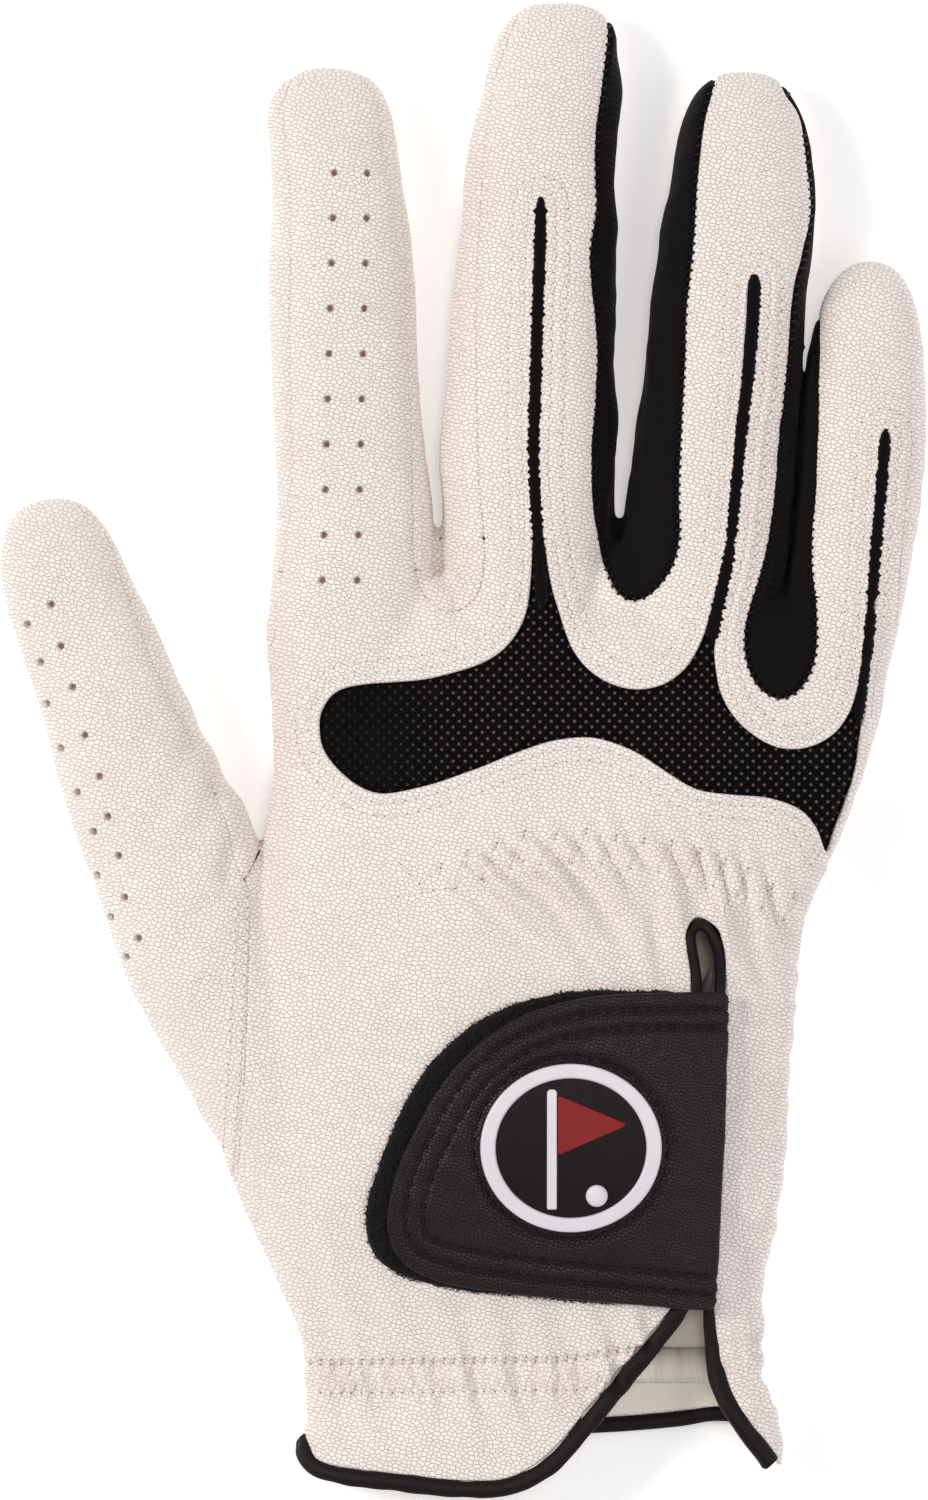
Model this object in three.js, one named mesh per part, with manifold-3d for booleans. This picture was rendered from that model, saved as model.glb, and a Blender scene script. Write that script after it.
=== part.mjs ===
// Golf glove for the right hand, lying palm down as if softly filled.
// Units are millimetres. +X points to the little-finger side, +Y to the fingertips and +Z up
// through the back of the hand. The origin is under the middle of the glove, on the surface
// that it lies on.
//
// The glove is a hollow skin. An outer body and a slightly smaller inner body are lofted from
// the same stations, one is cut from the other, and the skin is then cut along its seams into
// panels. Layers that lie on or under the skin are lofted the same way, further out or in.
import * as THREE from "three";
import { mergeVertices } from "three/addons/utils/BufferGeometryUtils.js";
import Module from "manifold-3d";

const wasm = await Module();
wasm.setup();

// ---------------------------------------------------------------- driving dimensions
const SKIN = 0.8; // thickness of the leather and of the stretch fabrics
const SEAM_GAP = 0.3; // clearance between neighbouring pieces
const PALM_SEAM_Z = 3.4; // height of the seam between palm and back
const SEAT = 0.42; // height of the widest point, as a share of the thickness
const DIGIT_SIDES = 16;
const HAND_SIDES = 32;
const CURVE_STEPS = 2; // straight pieces between two outline points
const TALL = 60; // height of the cutting prisms
const WIDE = 400; // side of the slabs that part the palm from the back

const WEB_HEIGHT = 8; // half the height of the rounded web between two fingers
const BINDING_PROUD = 0.5; // how far a folded binding stands out of the leather
const HEM_BINDING_WIDTH = 2.6;
const VENT_BINDING_WIDTH = 1.6;
const ELASTIC_WIDTH = 6;
const ELASTIC_THICKNESS = 0.7;

// Layers of the closure, as heights above the leather.
const LOOP_PILE = [0.3, 1.2];
const HOOK_PAD = [1.5, 2.2];
const TAB_COVER = [2.5, 3.4];
const BADGE = [3.7, 4.6];
const EMBLEM = [4.9, 5.4];

const COLOURS = {
  leather: 0xf1ece8,
  fabric: 0x151314,
  mesh: 0x0f0e0f,
  tab: 0x262122,
  binding: 0x221c1d,
  badge: 0xe8e2ea,
  emblem: 0xa32b33,
  elastic: 0xe8e4dc,
  pile: 0x18151a,
};

// Each digit runs from inside the hand to its tip. A station is [x, y, half width, thickness].
// foldAt is the distance along the digit, from its first station, of its fold line.
const DIGITS = {
  index: {
    stations: [
      [-15.5, -14, 9, 14],
      [-16.9, 6, 12.6, 17.5],
      [-17.2, 24, 12.9, 17.5],
      [-17.4, 42, 12.2, 17],
      [-18.5, 60, 11.6, 16.5],
      [-19.4, 79, 11.1, 16],
      [-20.5, 95, 10.2, 14.5],
    ],
    tip: [-20.9, 106.6],
    foldAt: 48,
  },
  middle: {
    stations: [
      [9, -14, 9, 15],
      [9.5, 6, 13, 18],
      [10, 24, 13.3, 18],
      [10.3, 42, 13.4, 17.5],
      [10.8, 62, 13, 17],
      [11.5, 82, 12.2, 16.5],
      [13.4, 101, 11.3, 15],
    ],
    tip: [14.6, 117],
    foldAt: 53,
  },
  ring: {
    stations: [
      [32.6, -14, 9, 15],
      [34.6, 6, 12.4, 18],
      [36.7, 24, 12.3, 17.5],
      [38.3, 42, 12.5, 17],
      [40.3, 60, 12, 16.5],
      [42.7, 79, 12, 16],
      [43.7, 94, 10.6, 14.5],
    ],
    tip: [44, 106.4],
    foldAt: 53,
  },
  little: {
    stations: [
      [49.5, -18, 7, 13],
      [54.8, 2, 9.5, 16],
      [59.3, 20, 9.9, 16],
      [61.9, 38, 9.8, 15.5],
      [62.6, 54, 9.5, 15],
      [62.8, 67, 8.5, 13.5],
    ],
    tip: [62.9, 76.4],
    foldAt: 48.5,
  },
  thumb: {
    stations: [
      [-23, -72, 6, 12],
      [-28.5, -60, 10, 17],
      [-33, -46, 13, 18.5],
      [-41, -29, 14, 18.5],
      [-47, -14, 12.9, 18],
      [-52, 0, 11.8, 17],
      [-57.3, 14, 10.7, 16],
      [-61.8, 27, 9.8, 14.5],
    ],
    tip: [-65.2, 39.4],
    foldAt: 73,
  },
};

// The hand between the cuff and the webs. A station is [y, left edge, right edge, thickness].
const HAND_STATIONS = [
  [-124, -26.5, 50, 14],
  [-112, -26.5, 50, 14],
  [-103, -24.8, 49.2, 14],
  [-95, -24.8, 46.8, 13.5],
  [-85, -28.4, 46.4, 16],
  [-75, -33, 49, 18],
  [-64, -37.5, 50.4, 19.5],
  [-50, -39, 51.2, 20.5],
  [-36, -36.5, 52, 21],
  [-24, -32.5, 54.2, 21],
  [-12, -30.8, 59.2, 20.5],
  [0, -30, 63.3, 20],
  [11, -30.3, 66, 19],
];
const HAND_FRONT_Y = 27; // where the hand closes in front, between the finger roots

// Webs between the fingers: [x, y, half width, half length].
const WEBS = [
  [-3.4, 19.5, 5, 8.5],
  [25, 23.5, 6, 12],
  [50.6, 18, 5, 11],
];

// ---------------------------------------------------------------- seam outlines, seen from above
const OUTLINES = {
  // Openings of the back leather along each pair of neighbouring fingers.
  gapIndexMiddle: [
    [-13.5, 108], [-11.4, 99], [-10, 88], [-8.9, 76], [-8.3, 62], [-8, 48], [-7.8, 38],
    [-7.6, 31], [-6.6, 26.5], [-4.5, 23.2], [-1.6, 22], [1, 23.6], [2.6, 28], [2.9, 33],
    [2.2, 42], [1.8, 52], [1.5, 66], [2, 80], [2.9, 93], [4.4, 104], [7, 112], [9.5, 121],
    [-2, 124],
  ],
  gapMiddleRing: [
    [21.4, 120], [22.5, 113], [22, 106], [20.9, 96], [20.5, 86], [19.9, 78], [20.4, 69],
    [20.9, 61], [20.3, 50], [20.2, 42], [20.8, 36], [22, 29.5], [23.3, 25.3], [25.8, 23.5],
    [28.8, 24.2], [31.5, 27], [33.3, 31.5], [33.5, 39], [33.6, 48], [34.1, 58], [35, 70],
    [35.9, 82], [36.3, 91], [37, 98], [39, 103.5], [41, 112], [31, 122],
  ],
  gapRingLittle: [
    [47.5, 110], [50.6, 102.8], [53, 96], [53.7, 88], [53.7, 81], [52.4, 74], [51.2, 66],
    [50.3, 57], [49.2, 46], [48.5, 38], [47.3, 31], [45.5, 25], [44, 20], [43.9, 15],
    [45.6, 10.5], [49.4, 8.3], [52.8, 9.8], [54.6, 14.5], [54.7, 22], [54.2, 29],
    [54.6, 40], [55.1, 52], [55.2, 64], [56, 71], [58.6, 75], [60, 82], [56, 104],
  ],
  // Side walls of the index finger and of the thumb.
  indexSide: [
    [-26, 110], [-28.4, 101], [-27.6, 93], [-27.3, 80], [-27.5, 66], [-27.1, 52],
    [-27.4, 41], [-28.4, 34], [-29.4, 27], [-30.4, 20], [-36, 19], [-38, 66], [-34, 108],
  ],
  thumbSide: [
    [-63, 44], [-59, 38], [-55.3, 33.4], [-52.7, 26.5], [-50, 19], [-47.7, 12], [-44.6, 6.4],
    [-42, 1.4], [-39.6, -5], [-37.2, -11.5], [-34.6, -17.6], [-33, -20], [-31.6, -16],
    [-31.8, -12], [-36, 4], [-48, 40],
  ],
  // Everything on the thumb side of the seam that sets the thumb into the hand.
  thumbPanel: [
    [-33, -20], [-32.4, -30], [-32.6, -42], [-33.8, -53], [-35, -62], [-37, -70], [-60, -60],
    [-90, -10], [-90, 50], [-60, 52], [-40, 40], [-36, 4], [-31.8, -12], [-31.6, -16],
  ],
  // Black stretch mesh over the knuckles, with a finger running up each slit.
  knuckleMesh: [
    [-22.6, 3], [-20.4, 8.6], [-15, 10.2], [-7, 10.9], [0, 12.5], [5.6, 15.2], [8.8, 18.9],
    [10.3, 24], [10.7, 31], [10.7, 40], [10.3, 50], [10.6, 62], [11, 75], [11.6, 85],
    [12.6, 85], [12.6, 75], [12.3, 62], [11.8, 50], [12, 40], [13, 30], [15.4, 19.6],
    [18.4, 13.4], [25.2, 9.4], [32.3, 11.4], [36.4, 15.8], [38.3, 22], [40.3, 29.5],
    [41.6, 38], [42.6, 48], [43.6, 60], [44.8, 73], [46.2, 73.2], [45.6, 62], [43.9, 50],
    [42.9, 40], [41.6, 30], [39.9, 23], [39.1, 16], [40.6, 8.6], [44.4, 2.8], [51.2, 0],
    [57.6, 2.2], [61, 8.2], [62.4, 16], [63, 26], [63.9, 37], [65, 49.8], [66.4, 49.8],
    [65.3, 37], [64.3, 26], [63.4, 14], [61.9, 2], [60.2, -7], [56.9, -15.6], [54.4, -10.8],
    [50, -7.9], [42.8, -7.5], [35.6, -5.9], [26.4, -0.2], [18.2, 2.2], [9.6, 0.2],
    [0.4, -3.6], [-8.6, -6.2], [-15.6, -5.8], [-20.6, -2.2],
  ],
  // Opening of the back cuff, from the vent down and out at the hem, bindings included.
  vent: [
    [34.4, -27.6], [36.6, -26], [38.8, -27.2], [40.3, -30], [40.8, -36], [40.7, -50],
    [40.1, -66], [39.2, -78], [38.9, -86], [39.5, -92], [40.3, -97.4], [42.6, -102.6],
    [45.6, -107], [49.6, -111.4], [58, -121], [50, -130], [16, -130], [-30, -130], [-34, -113],
    [-28.3, -107], [-25.4, -111], [-20, -112], [-10, -113.2], [0, -114.2], [6.8, -113.8],
    [12, -111], [16.4, -106.4], [21.4, -100], [27, -93.6], [31.4, -88.4], [33.6, -85],
    [34.9, -78], [35.4, -62], [35.6, -46], [35.6, -36], [34.7, -31],
  ],
  palmCuff: [
    [-34, -107], [-26.5, -107], [-12, -105.4], [6, -104.4], [22, -104], [34, -103.2],
    [42, -105], [49, -109], [58, -112], [58, -140], [-34, -140],
  ],
  loopPatch: [
    [33.6, -38.6], [24, -37.4], [12, -38.2], [2.6, -41.4], [-4.6, -47.4], [-9.6, -55],
    [-13.4, -64], [-15, -72], [-13.6, -78], [-8.6, -82.2], [0, -84.2], [14, -85.4],
    [25, -86], [30.8, -84.6], [33.6, -77], [34.2, -50],
  ],
  hookPad: [
    [36.8, -41], [24, -40.8], [13, -41.8], [5, -44.8], [-1, -50], [-5.6, -57.4],
    [-8.6, -65.6], [-9.4, -72.2], [-7.8, -76.8], [-2.6, -79.6], [10, -81.2], [24, -82.8],
    [34.8, -84], [35.8, -72], [36.6, -56],
  ],
};

// The tab's outline has square corners at its sewn edge, so it isn't one smooth curve.
const TAB_SEWN_EDGE = [[38.1, -87.2], [39.9, -62], [40.5, -37.6]];
const TAB_FREE_EDGE = [
  [30, -37.6], [18, -38.6], [8, -41.2], [0, -46], [-5.4, -52.6], [-9.4, -60.2],
  [-11.8, -68], [-12, -74.6], [-9.4, -80], [-3, -82.8], [8, -84.3], [22, -85.8],
];
const BADGE_CENTRE = [16.6, -61.8];
const BADGE_RADII = [14, 13];
const BADGE_SIDES = 28;
// A golf flag on its pin.
const EMBLEM_OUTLINE = [
  [13, -70], [14.4, -70.2], [14.7, -63.4], [23, -58.4], [14.4, -53.6], [12.6, -53.6],
];

const HEM_LINE = [
  [-27.6, -107.4], [-25.2, -112.2], [-20, -113.5], [-10, -114.7], [0, -115.7], [7, -115.3],
  [13, -112.4], [17.6, -107.4], [22.6, -101.2], [28, -94.8], [32.4, -89.4], [34.8, -84.6],
];
const RADIAL_VENT_LINE = [
  [35.9, -82.9], [35.9, -72], [36.3, -56], [36.5, -44], [36.5, -36], [35.7, -31], [35.3, -28.6],
  [36.4, -27.2],
];
const LAPEL_LINE = [
  [37.5, -27.3], [38.8, -29.2], [39.6, -33], [39.9, -40], [39.7, -54], [39.1, -68],
  [38.1, -80], [37.8, -88], [38.5, -94], [39.7, -99], [42.3, -104.2], [46.4, -109.6],
  [48.6, -112.2],
];
const PALM_HEM_LINE = [
  [-26.6, -108.6], [-12, -107], [6, -106], [22, -105.6], [34, -104.8], [41.6, -106.4],
  [47.6, -110],
];
// The leather under the little finger meets the back panel where the stretch mesh ends.
const LITTLE_KNUCKLE_CUT = [[54, -14.3], [80, -14.3], [80, -14], [54, -14]];
const KNUCKLE_ELASTIC_LINE = [
  [-8, -20], [2, -17.2], [12, -15.8], [22, -15.4], [32, -16.6], [42, -19.8], [50, -22.8],
];
const WRIST_ELASTIC_LINE = [[-21, -98], [-4, -98.4], [10, -97.6], [20, -96.8]];
const PALM_ELASTIC_LINE = [[-20, -96], [0, -96.6], [20, -96.6], [41, -96]];

// ---------------------------------------------------------------- solids
function solid(geometry) {
  const bare = new THREE.BufferGeometry();
  bare.setAttribute("position", geometry.getAttribute("position"));
  bare.setIndex(geometry.index);
  const merged = mergeVertices(bare, 1e-4);
  const mesh = new wasm.Mesh({
    numProp: 3,
    vertProperties: new Float32Array(merged.attributes.position.array),
    triVerts: new Uint32Array(merged.index.array),
  });
  return new wasm.Manifold(mesh);
}

const joined = (parts) => parts.reduce((all, part) => all.add(part));

// A closed body through rings of points, closed by a fan at each end.
function loft(rings) {
  const sides = rings[0].length;
  const points = rings.flat();
  const middles = [rings[0], rings.at(-1)].map((ring) =>
    ring.reduce((sum, p) => sum.add(p), new THREE.Vector3()).divideScalar(sides),
  );
  const faces = [];
  for (let r = 0; r + 1 < rings.length; r++) {
    for (let k = 0; k < sides; k++) {
      const a = r * sides + k;
      const b = r * sides + ((k + 1) % sides);
      faces.push(a, b + sides, b, a, a + sides, b + sides);
    }
  }
  const start = points.length;
  const last = (rings.length - 1) * sides;
  for (let k = 0; k < sides; k++) {
    const next = (k + 1) % sides;
    faces.push(start, k, next, start + 1, last + next, last + k);
  }
  const geometry = new THREE.BufferGeometry().setFromPoints([...points, ...middles]);
  geometry.setIndex(faces);
  return solid(geometry);
}

const power = (value, exponent) => Math.sign(value) * Math.abs(value) ** exponent;

// A ring round the hand or a digit: rounded above, flat where it lies on the table.
function section({ x, y, across, halfWidth, thickness, sides, inset, grow = 1 }) {
  const ring = [];
  const seat = thickness * SEAT;
  for (let k = 0; k < sides; k++) {
    const angle = (2 * Math.PI * k) / sides;
    const side = (halfWidth - inset) * grow * power(Math.cos(angle), 0.8);
    const rise = Math.abs(Math.sin(angle)) ** 0.8;
    const up = (thickness - seat - inset) * grow * rise;
    const down = Math.min(1, 1.15 * rise) * (seat - inset) * grow;
    const z = Math.sin(angle) >= 0 ? seat + up : seat - down;
    ring.push(new THREE.Vector3(x + across.x * side, y + across.y * side, z));
  }
  return ring;
}

// A digit's centre line, with its width and thickness, at a distance along it.
function digitLine({ stations, tip }) {
  const points = [...stations, [...tip, 0, 0]];
  const flat = points.map(([x, y]) => new THREE.Vector2(x, y));
  const ahead = flat.map((p, i) => {
    const from = flat[Math.max(i - 1, 0)];
    const to = flat[Math.min(i + 1, flat.length - 1)];
    return to.clone().sub(from).normalize();
  });
  const along = [0];
  for (let i = 1; i < flat.length; i++) along.push(along[i - 1] + flat[i].distanceTo(flat[i - 1]));
  return { points, flat, ahead, along };
}

const toTheRight = (direction) => new THREE.Vector2(direction.y, -direction.x);

function digitBody(digit, inset) {
  const { points, flat, ahead } = digitLine(digit);
  const rings = digit.stations.map(([x, y, halfWidth, thickness], i) =>
    section({ x, y, across: toTheRight(ahead[i]), halfWidth, thickness, sides: DIGIT_SIDES, inset }),
  );
  // The tip closes along a rounded profile.
  const lastStation = digit.stations.at(-1);
  const base = flat.at(-2);
  const reach = flat.at(-1).distanceTo(base) - inset;
  const forward = flat.at(-1).clone().sub(base).normalize();
  for (const turn of [0.3, 0.58, 0.8, 0.95]) {
    const angle = (turn * Math.PI) / 2;
    const place = base.clone().addScaledVector(forward, reach * Math.sin(angle));
    rings.push(
      section({
        x: place.x,
        y: place.y,
        across: toTheRight(forward),
        halfWidth: lastStation[2],
        thickness: lastStation[3],
        sides: DIGIT_SIDES,
        inset,
        grow: Math.cos(angle) ** 0.72,
      }),
    );
  }
  return loft(rings);
}

function handBody(inset) {
  const rings = HAND_STATIONS.map(([y, left, right, thickness]) =>
    section({
      x: (left + right) / 2,
      y,
      across: new THREE.Vector2(1, 0),
      halfWidth: (right - left) / 2,
      thickness,
      sides: HAND_SIDES,
      inset,
    }),
  );
  // The front closes along a rounded profile under the roots of the fingers.
  const [y, left, right, thickness] = HAND_STATIONS.at(-1);
  const reach = HAND_FRONT_Y - inset - y;
  for (const turn of [0.35, 0.65, 0.9]) {
    const angle = (turn * Math.PI) / 2;
    rings.push(
      section({
        x: (left + right) / 2 + 1,
        y: y + reach * Math.sin(angle),
        across: new THREE.Vector2(1, 0),
        halfWidth: (right - left) / 2,
        thickness,
        sides: HAND_SIDES,
        inset,
        grow: Math.cos(angle) ** 0.5,
      }),
    );
  }
  return loft(rings);
}

function webBody([x, y, halfWidth, halfLength], inset) {
  const ball = new THREE.SphereGeometry(1, 14, 10);
  ball.scale(halfWidth - inset, halfLength - inset, WEB_HEIGHT - inset);
  ball.translate(x, y, WEB_HEIGHT);
  return solid(ball);
}

const gloveBody = (inset) =>
  joined([
    handBody(inset),
    ...Object.values(DIGITS).map((digit) => digitBody(digit, inset)),
    ...WEBS.map((web) => webBody(web, inset)),
  ]);

// ---------------------------------------------------------------- outlines and cutters
const vector = ([x, y]) => new THREE.Vector3(x, y, 0);

function smooth(points, closed) {
  const curve = new THREE.CatmullRomCurve3(points.map(vector), closed, "centripetal");
  const steps = (closed ? points.length : points.length - 1) * CURVE_STEPS;
  const made = [];
  for (let i = 0; i < steps + (closed ? 0 : 1); i++) {
    const p = curve.getPoint(i / steps);
    made.push(new THREE.Vector2(p.x, p.y));
  }
  return made;
}

// The outline moved outwards by a margin, corner by corner.
function grown(points, margin) {
  const turn = THREE.ShapeUtils.area(points) > 0 ? 1 : -1;
  return points.map((p, i) => {
    const before = points[(i + points.length - 1) % points.length];
    const after = points[(i + 1) % points.length];
    const a = toTheRight(p.clone().sub(before).normalize());
    const b = toTheRight(after.clone().sub(p).normalize());
    const outwards = a.clone().add(b).normalize();
    const reach = margin / Math.max(outwards.dot(a), 0.5);
    return p.clone().addScaledVector(outwards, turn * reach);
  });
}

function prism(points, low = -TALL / 2, high = TALL / 2) {
  const geometry = new THREE.ExtrudeGeometry(new THREE.Shape(points), {
    depth: high - low,
    bevelEnabled: false,
  });
  geometry.translate(0, 0, low);
  return solid(geometry);
}

// A band of even width along a line.
function band(line, width) {
  const middle = smooth(line, false);
  const sides = [1, -1].map((side) =>
    middle.map((p, i) => {
      const from = middle[Math.max(i - 1, 0)];
      const to = middle[Math.min(i + 1, middle.length - 1)];
      const across = toTheRight(to.clone().sub(from).normalize());
      return p.clone().addScaledVector(across, (side * width) / 2);
    }),
  );
  return [...sides[0], ...sides[1].reverse()];
}

// The part of a digit beyond its fold line, seen from above and a little wider than the digit.
function digitZone(digit, margin) {
  const { points, flat, ahead, along } = digitLine(digit);
  const fold = foldOf(digit);
  const beyond = points.map((_, i) => i).filter((i) => along[i] > digit.foldAt + 1);
  const edge = (side) => [
    fold.place.clone().addScaledVector(toTheRight(fold.forward), side * (fold.halfWidth + 1.5)),
    ...beyond.map((i) => {
      const halfWidth = (points[i][2] || digit.stations.at(-1)[2]) + SEAM_GAP;
      return flat[i].clone().addScaledVector(toTheRight(ahead[i]), side * halfWidth);
    }),
  ];
  const end = flat.at(-1).clone().addScaledVector(ahead.at(-1), 4);
  const outline = [...edge(1), end, ...edge(-1).reverse()];
  const square = outline.map((p, i) =>
    i === 0 || i === outline.length - 1
      ? p.clone().addScaledVector(fold.forward, -margin)
      : p,
  );
  return prism(square);
}

function foldOf(digit) {
  const { points, flat, along } = digitLine(digit);
  const i = along.findIndex((distance) => distance > digit.foldAt);
  const share = (digit.foldAt - along[i - 1]) / (along[i] - along[i - 1]);
  return {
    place: flat[i - 1].clone().lerp(flat[i], share),
    forward: flat[i].clone().sub(flat[i - 1]).normalize(),
    halfWidth: THREE.MathUtils.lerp(points[i - 1][2], points[i][2], share),
    thickness: THREE.MathUtils.lerp(points[i - 1][3], points[i][3], share),
  };
}

function tabOutline() {
  const free = smooth([TAB_SEWN_EDGE.at(-1), ...TAB_FREE_EDGE, TAB_SEWN_EDGE[0]], false);
  return [...free, new THREE.Vector2(...TAB_SEWN_EDGE[1])];
}

function badgeOutline() {
  return Array.from({ length: BADGE_SIDES }, (_, i) => {
    const angle = (2 * Math.PI * i) / BADGE_SIDES;
    return new THREE.Vector2(
      BADGE_CENTRE[0] + BADGE_RADII[0] * Math.cos(angle),
      BADGE_CENTRE[1] + BADGE_RADII[1] * Math.sin(angle),
    );
  });
}

// ---------------------------------------------------------------- the glove's nodes
const glove = new THREE.Group();

// A cut along a curved seam can leave slivers beside a panel: only the panel itself is kept.
function largest(made) {
  const bodies = made.decompose();
  return bodies.reduce((best, body) => (body.volume() > best.volume() ? body : best));
}

function addNode(name, made, colour, roughness = 0.7) {
  const mesh = largest(made).getMesh();
  const geometry = new THREE.BufferGeometry();
  geometry.setAttribute("position", new THREE.BufferAttribute(mesh.vertProperties, 3));
  geometry.setIndex(new THREE.BufferAttribute(mesh.triVerts, 1));
  geometry.computeVertexNormals();
  const material = new THREE.MeshStandardMaterial({ color: colour, roughness, metalness: 0 });
  const node = new THREE.Mesh(geometry, material);
  node.name = name;
  glove.add(node);
}

function wide(low, high) {
  const slab = new THREE.BoxGeometry(WIDE, WIDE, high - low);
  slab.translate(0, 0, (low + high) / 2);
  return solid(slab);
}
const aboveSeam = wide(PALM_SEAM_Z + SEAM_GAP / 2, TALL);
const belowSeam = wide(-TALL, PALM_SEAM_Z - SEAM_GAP / 2);

const region = {};
const clearOf = {};
for (const [name, points] of Object.entries(OUTLINES)) {
  const outline = smooth(points, true);
  region[name] = prism(outline);
  clearOf[name] = prism(grown(outline, SEAM_GAP));
}
const zone = {};
const clearOfZone = {};
for (const [name, digit] of Object.entries(DIGITS)) {
  zone[name] = digitZone(digit, 0);
  clearOfZone[name] = digitZone(digit, SEAM_GAP);
}
const without = (piece, cutters) => cutters.reduce((left, cutter) => left.subtract(cutter), piece);
const onHand = (piece) => without(piece, Object.values(clearOfZone));

const skin = gloveBody(0).subtract(gloveBody(SKIN));
const clearOfBand = (line, width) => prism(band(line, width + 2 * SEAM_GAP));
const upper = without(skin.intersect(aboveSeam), [
  clearOf.vent,
  clearOfBand(HEM_LINE, HEM_BINDING_WIDTH),
  clearOfBand(RADIAL_VENT_LINE, VENT_BINDING_WIDTH),
  clearOfBand(LAPEL_LINE, VENT_BINDING_WIDTH),
]);
const lower = without(skin.intersect(belowSeam), [
  clearOf.palmCuff,
  clearOfBand(PALM_HEM_LINE, HEM_BINDING_WIDTH),
]);

const gaps = ["gapIndexMiddle", "gapMiddleRing", "gapRingLittle"];
const leatherTop = without(
  upper,
  [...gaps, "knuckleMesh", "indexSide"].map((name) => clearOf[name]),
);
const thumbTop = upper.intersect(region.thumbPanel).subtract(clearOf.thumbSide);
const backTop = leatherTop.subtract(clearOf.thumbPanel).subtract(clearOf.thumbSide);

// The stretch mesh parts the leather into the large back panel and a knuckle panel under each of
// the middle, ring and little fingers, so each is found by how far left it reaches.
const SMALLEST_PANEL = 100; // mm3
const backPanels = onHand(backTop)
  .subtract(prism(LITTLE_KNUCKLE_CUT.map(([x, y]) => new THREE.Vector2(x, y))))
  .decompose()
  .filter((panel) => panel.volume() > SMALLEST_PANEL)
  .sort((a, b) => a.boundingBox().min[0] - b.boundingBox().min[0]);
["back_panel", "middle_knuckle", "ring_knuckle", "little_knuckle"].forEach((name, i) => {
  addNode(name, backPanels[i], COLOURS.leather);
});

// Other panels that stay with the hand.
addNode("palm_panel", onHand(lower), COLOURS.leather);
addNode("thumb_gusset", onHand(thumbTop), COLOURS.leather);
addNode("thumb_web", onHand(upper.intersect(region.thumbSide)), COLOURS.leather);
addNode("knuckle_mesh", onHand(upper.intersect(region.knuckleMesh)), COLOURS.mesh, 0.9);
addNode("web_index_middle", onHand(upper.intersect(region.gapIndexMiddle)), COLOURS.leather);
addNode("web_middle_ring", onHand(upper.intersect(region.gapMiddleRing)), COLOURS.fabric, 0.9);
addNode("web_ring_little", onHand(upper.intersect(region.gapRingLittle)), COLOURS.fabric, 0.9);

// Panels of the digits.
const fingerWalls = {
  index: { radial: "indexSide", ulnar: "gapIndexMiddle" },
  middle: { radial: "gapIndexMiddle", ulnar: "gapMiddleRing" },
  ring: { radial: "gapMiddleRing", ulnar: "gapRingLittle" },
  little: { radial: "gapRingLittle" },
};
const leatherWalls = ["indexSide", "gapIndexMiddle"];
for (const [finger, walls] of Object.entries(fingerWalls)) {
  addNode(`${finger}_back`, backTop.intersect(zone[finger]), COLOURS.leather);
  addNode(`${finger}_palm`, lower.intersect(zone[finger]), COLOURS.leather);
  for (const [side, wall] of Object.entries(walls)) {
    const colour = leatherWalls.includes(wall) ? COLOURS.leather : COLOURS.fabric;
    addNode(`${finger}_fourchette_${side}`, upper.intersect(region[wall]).intersect(zone[finger]), colour);
  }
  if (finger !== "index") {
    const strip = upper.intersect(region.knuckleMesh).intersect(zone[finger]);
    addNode(`${finger}_mesh_strip`, strip, COLOURS.mesh, 0.9);
  }
}
addNode("thumb_back", thumbTop.intersect(zone.thumb), COLOURS.leather);
addNode("thumb_palm", lower.intersect(zone.thumb), COLOURS.leather);
addNode("thumb_side", upper.intersect(region.thumbSide).intersect(zone.thumb), COLOURS.leather);

// Bindings, folded round the raw edges of the cuff.
const bindingLayer = handBody(-BINDING_PROUD).subtract(handBody(SKIN + BINDING_PROUD));
function addBinding(name, line, width, side) {
  addNode(name, bindingLayer.intersect(side).intersect(prism(band(line, width))), COLOURS.binding, 0.6);
}
addBinding("hem_binding_back", HEM_LINE, HEM_BINDING_WIDTH, aboveSeam);
addBinding("vent_binding", RADIAL_VENT_LINE, VENT_BINDING_WIDTH, aboveSeam);
addBinding("lapel_binding", LAPEL_LINE, VENT_BINDING_WIDTH, aboveSeam);
addBinding(
  "hem_binding_palm",
  PALM_HEM_LINE,
  HEM_BINDING_WIDTH,
  wide(0, PALM_SEAM_Z - SEAM_GAP / 2),
);

// Elastics, sewn to the inside of the skin.
const elasticTop = SKIN + SEAM_GAP;
const elasticLayer = handBody(elasticTop).subtract(handBody(elasticTop + ELASTIC_THICKNESS));
function addElastic(name, line, side) {
  addNode(name, elasticLayer.intersect(side).intersect(prism(band(line, ELASTIC_WIDTH))), COLOURS.elastic);
}
addElastic("knuckle_elastic", KNUCKLE_ELASTIC_LINE, aboveSeam);
addElastic("wrist_elastic_back", WRIST_ELASTIC_LINE, aboveSeam);
addElastic("wrist_elastic_palm", PALM_ELASTIC_LINE, belowSeam);

// Closure: loop pile on the back, and the tab with its hook pad and badge.
function addLayer(name, [low, high], outline, colour, roughness) {
  const layer = handBody(-high).subtract(handBody(-low)).intersect(aboveSeam);
  addNode(name, layer.intersect(prism(outline)), colour, roughness);
}
addLayer("loop_patch", LOOP_PILE, smooth(OUTLINES.loopPatch, true), COLOURS.pile, 1);
addLayer("tab_hook_pad", HOOK_PAD, smooth(OUTLINES.hookPad, true), COLOURS.pile, 1);
addLayer("tab_cover", TAB_COVER, tabOutline(), COLOURS.tab, 0.5);
addLayer("tab_badge", BADGE, badgeOutline(), COLOURS.badge, 0.35);
const emblem = EMBLEM_OUTLINE.map(([x, y]) => new THREE.Vector2(x, y));
addLayer("badge_emblem", EMBLEM, emblem, COLOURS.emblem, 0.4);

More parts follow.
